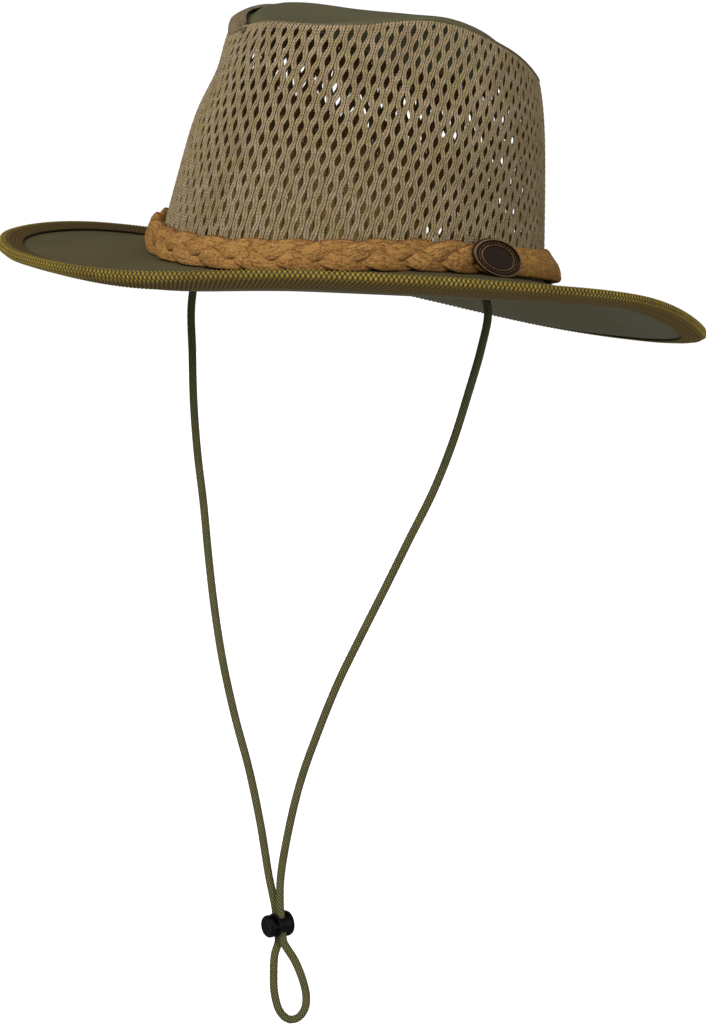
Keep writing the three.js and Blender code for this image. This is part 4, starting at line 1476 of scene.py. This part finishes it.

# %% [markdown]
# The cord is braided from dull green yarn with dark gaps. Under the brim little light reaches
# it, so painted shade darkens its colour towards the top.

# %% Cord braid
cord_finish, graph, shader = new_material("cord", 0.8, Specular_IOR_Level=0.2)
braid = use_group(graph, braid_tree, Along=2 / BRAID_PITCH, Across=8 / (math.pi * CORD_DIAMETER))
mottle = use_group(graph, mottle_tree, Scale=120.0, Amount=0.8,
                   Light=rgb(142, 138, 88), Dark=rgb(104, 101, 60))
braided = graph.blend(graph.steps(braid["Lozenge"], 0.1, 0.6), rgb(44, 43, 20), mottle["Color"])
body = graph.add("SeparateXYZ", {0: graph.add("TexCoord").outputs["Object"]})
# Painted shade of the brim: the cord's colour is darker towards its top.
upper = graph.math("MULTIPLY", graph.steps(body.outputs[2], -110 * MM, -10 * MM), 0.65)
graph.feed(shader.inputs["Base Color"], graph.blend(upper, braided, rgb(22, 26, 12)))
bump(graph, shader, braid["Lozenge"], 0.25 * MM)
dress(chin_cord, cord_finish)

# %% [markdown]
# The lock is moulded black plastic with a faint texture and a soft shine. Pure black would
# swallow its form, so it is a very dark grey with a small mottle.

# %% Lock plastic
lock_finish, graph, shader = new_material("lock_plastic", 0.4, Specular_IOR_Level=0.07)
mottle = use_group(graph, mottle_tree, Scale=400.0, Amount=0.8,
                   Light=rgb(6, 7, 7), Dark=rgb(3, 4, 4))
graph.feed(shader.inputs["Base Color"], mottle["Color"])
bump(graph, shader, mottle["Mask"], 0.04 * MM)
dress(lock_drum, lock_finish)
dress(lock_button, lock_finish)

# %% [markdown]
# The studio is a white floor well below the hanging loop, a white surround, and two large soft
# lamps. An image of a studio could light it, but two lamps are enough for cloth, which has no
# reflections to fill, and they keep the shadows soft.

# %% Floor
FLOOR_DROP, FLOOR_HALF = 0.5, 12
bm = bmesh.new()
bmesh.ops.create_grid(bm, x_segments=1, y_segments=1, size=FLOOR_HALF)
bmesh.ops.translate(bm, vec=(0, 0, cad_low.z - FLOOR_DROP), verts=bm.verts)
floor = finish_piece(bm, "studio_floor", smooth=False)
floor_finish, graph, shader = new_material("studio_floor", 0.9)
shader.inputs["Base Color"].default_value = (0.7, 0.7, 0.7, 1)
shader.inputs["Emission Color"].default_value = (1, 1, 1, 1)
seen = graph.add("LightPath").outputs["Is Camera Ray"]
graph.feed(shader.inputs["Emission Strength"], seen)
dress(floor, floor_finish)

# %% Light
SEEN_WHITE, SOFT_WHITE = 0.65, 0.4
LAMP_AWAY = 1.6
KEY_ASIDE, KEY_HIGH, KEY_SIZE, KEY_POWER = 0.9, 0.8, 1.0, 38
FILL_ASIDE, FILL_HIGH, FILL_SIZE, FILL_POWER = 1.4, 0.1, 1.2, 16
world = bpy.data.worlds.new("studio")
scene.world = world
world.use_nodes = True
graph = Graph(world.node_tree)
surround = world.node_tree.nodes["Background"]
surround.inputs["Color"].default_value = (1, 1, 1, 1)
camera_ray = graph.add("LightPath").outputs["Is Camera Ray"]
seen_part = graph.math("MULTIPLY", camera_ray, SEEN_WHITE)
graph.feed(surround.inputs["Strength"], graph.math("ADD", seen_part, SOFT_WHITE))


def soft_lamp(name, place, size, power):
    data = bpy.data.lights.new(name, "AREA")
    data.size = size
    data.energy = power
    lamp = bpy.data.objects.new(name, data)
    scene.collection.objects.link(lamp)
    lamp.location = place
    lamp.rotation_mode = "QUATERNION"
    lamp.rotation_quaternion = (-Vector(place)).to_track_quat("-Z", "Y")
    print("lamp", name, power, "W")


key_place = pull_back * LAMP_AWAY - level_right * KEY_ASIDE + Vector((0, 0, KEY_HIGH))
fill_place = pull_back * LAMP_AWAY + level_right * FILL_ASIDE + Vector((0, 0, FILL_HIGH))
soft_lamp("key", key_place, KEY_SIZE, KEY_POWER)
soft_lamp("fill", fill_place, FILL_SIZE, FILL_POWER)

# %% [markdown]
# The cloth of the hat is cut flat before it is sewn and steamed over a block. The net's length
# round the crown is printed.

# %% Sheets
print("net cut to", round(crown_round, 3), "m round")
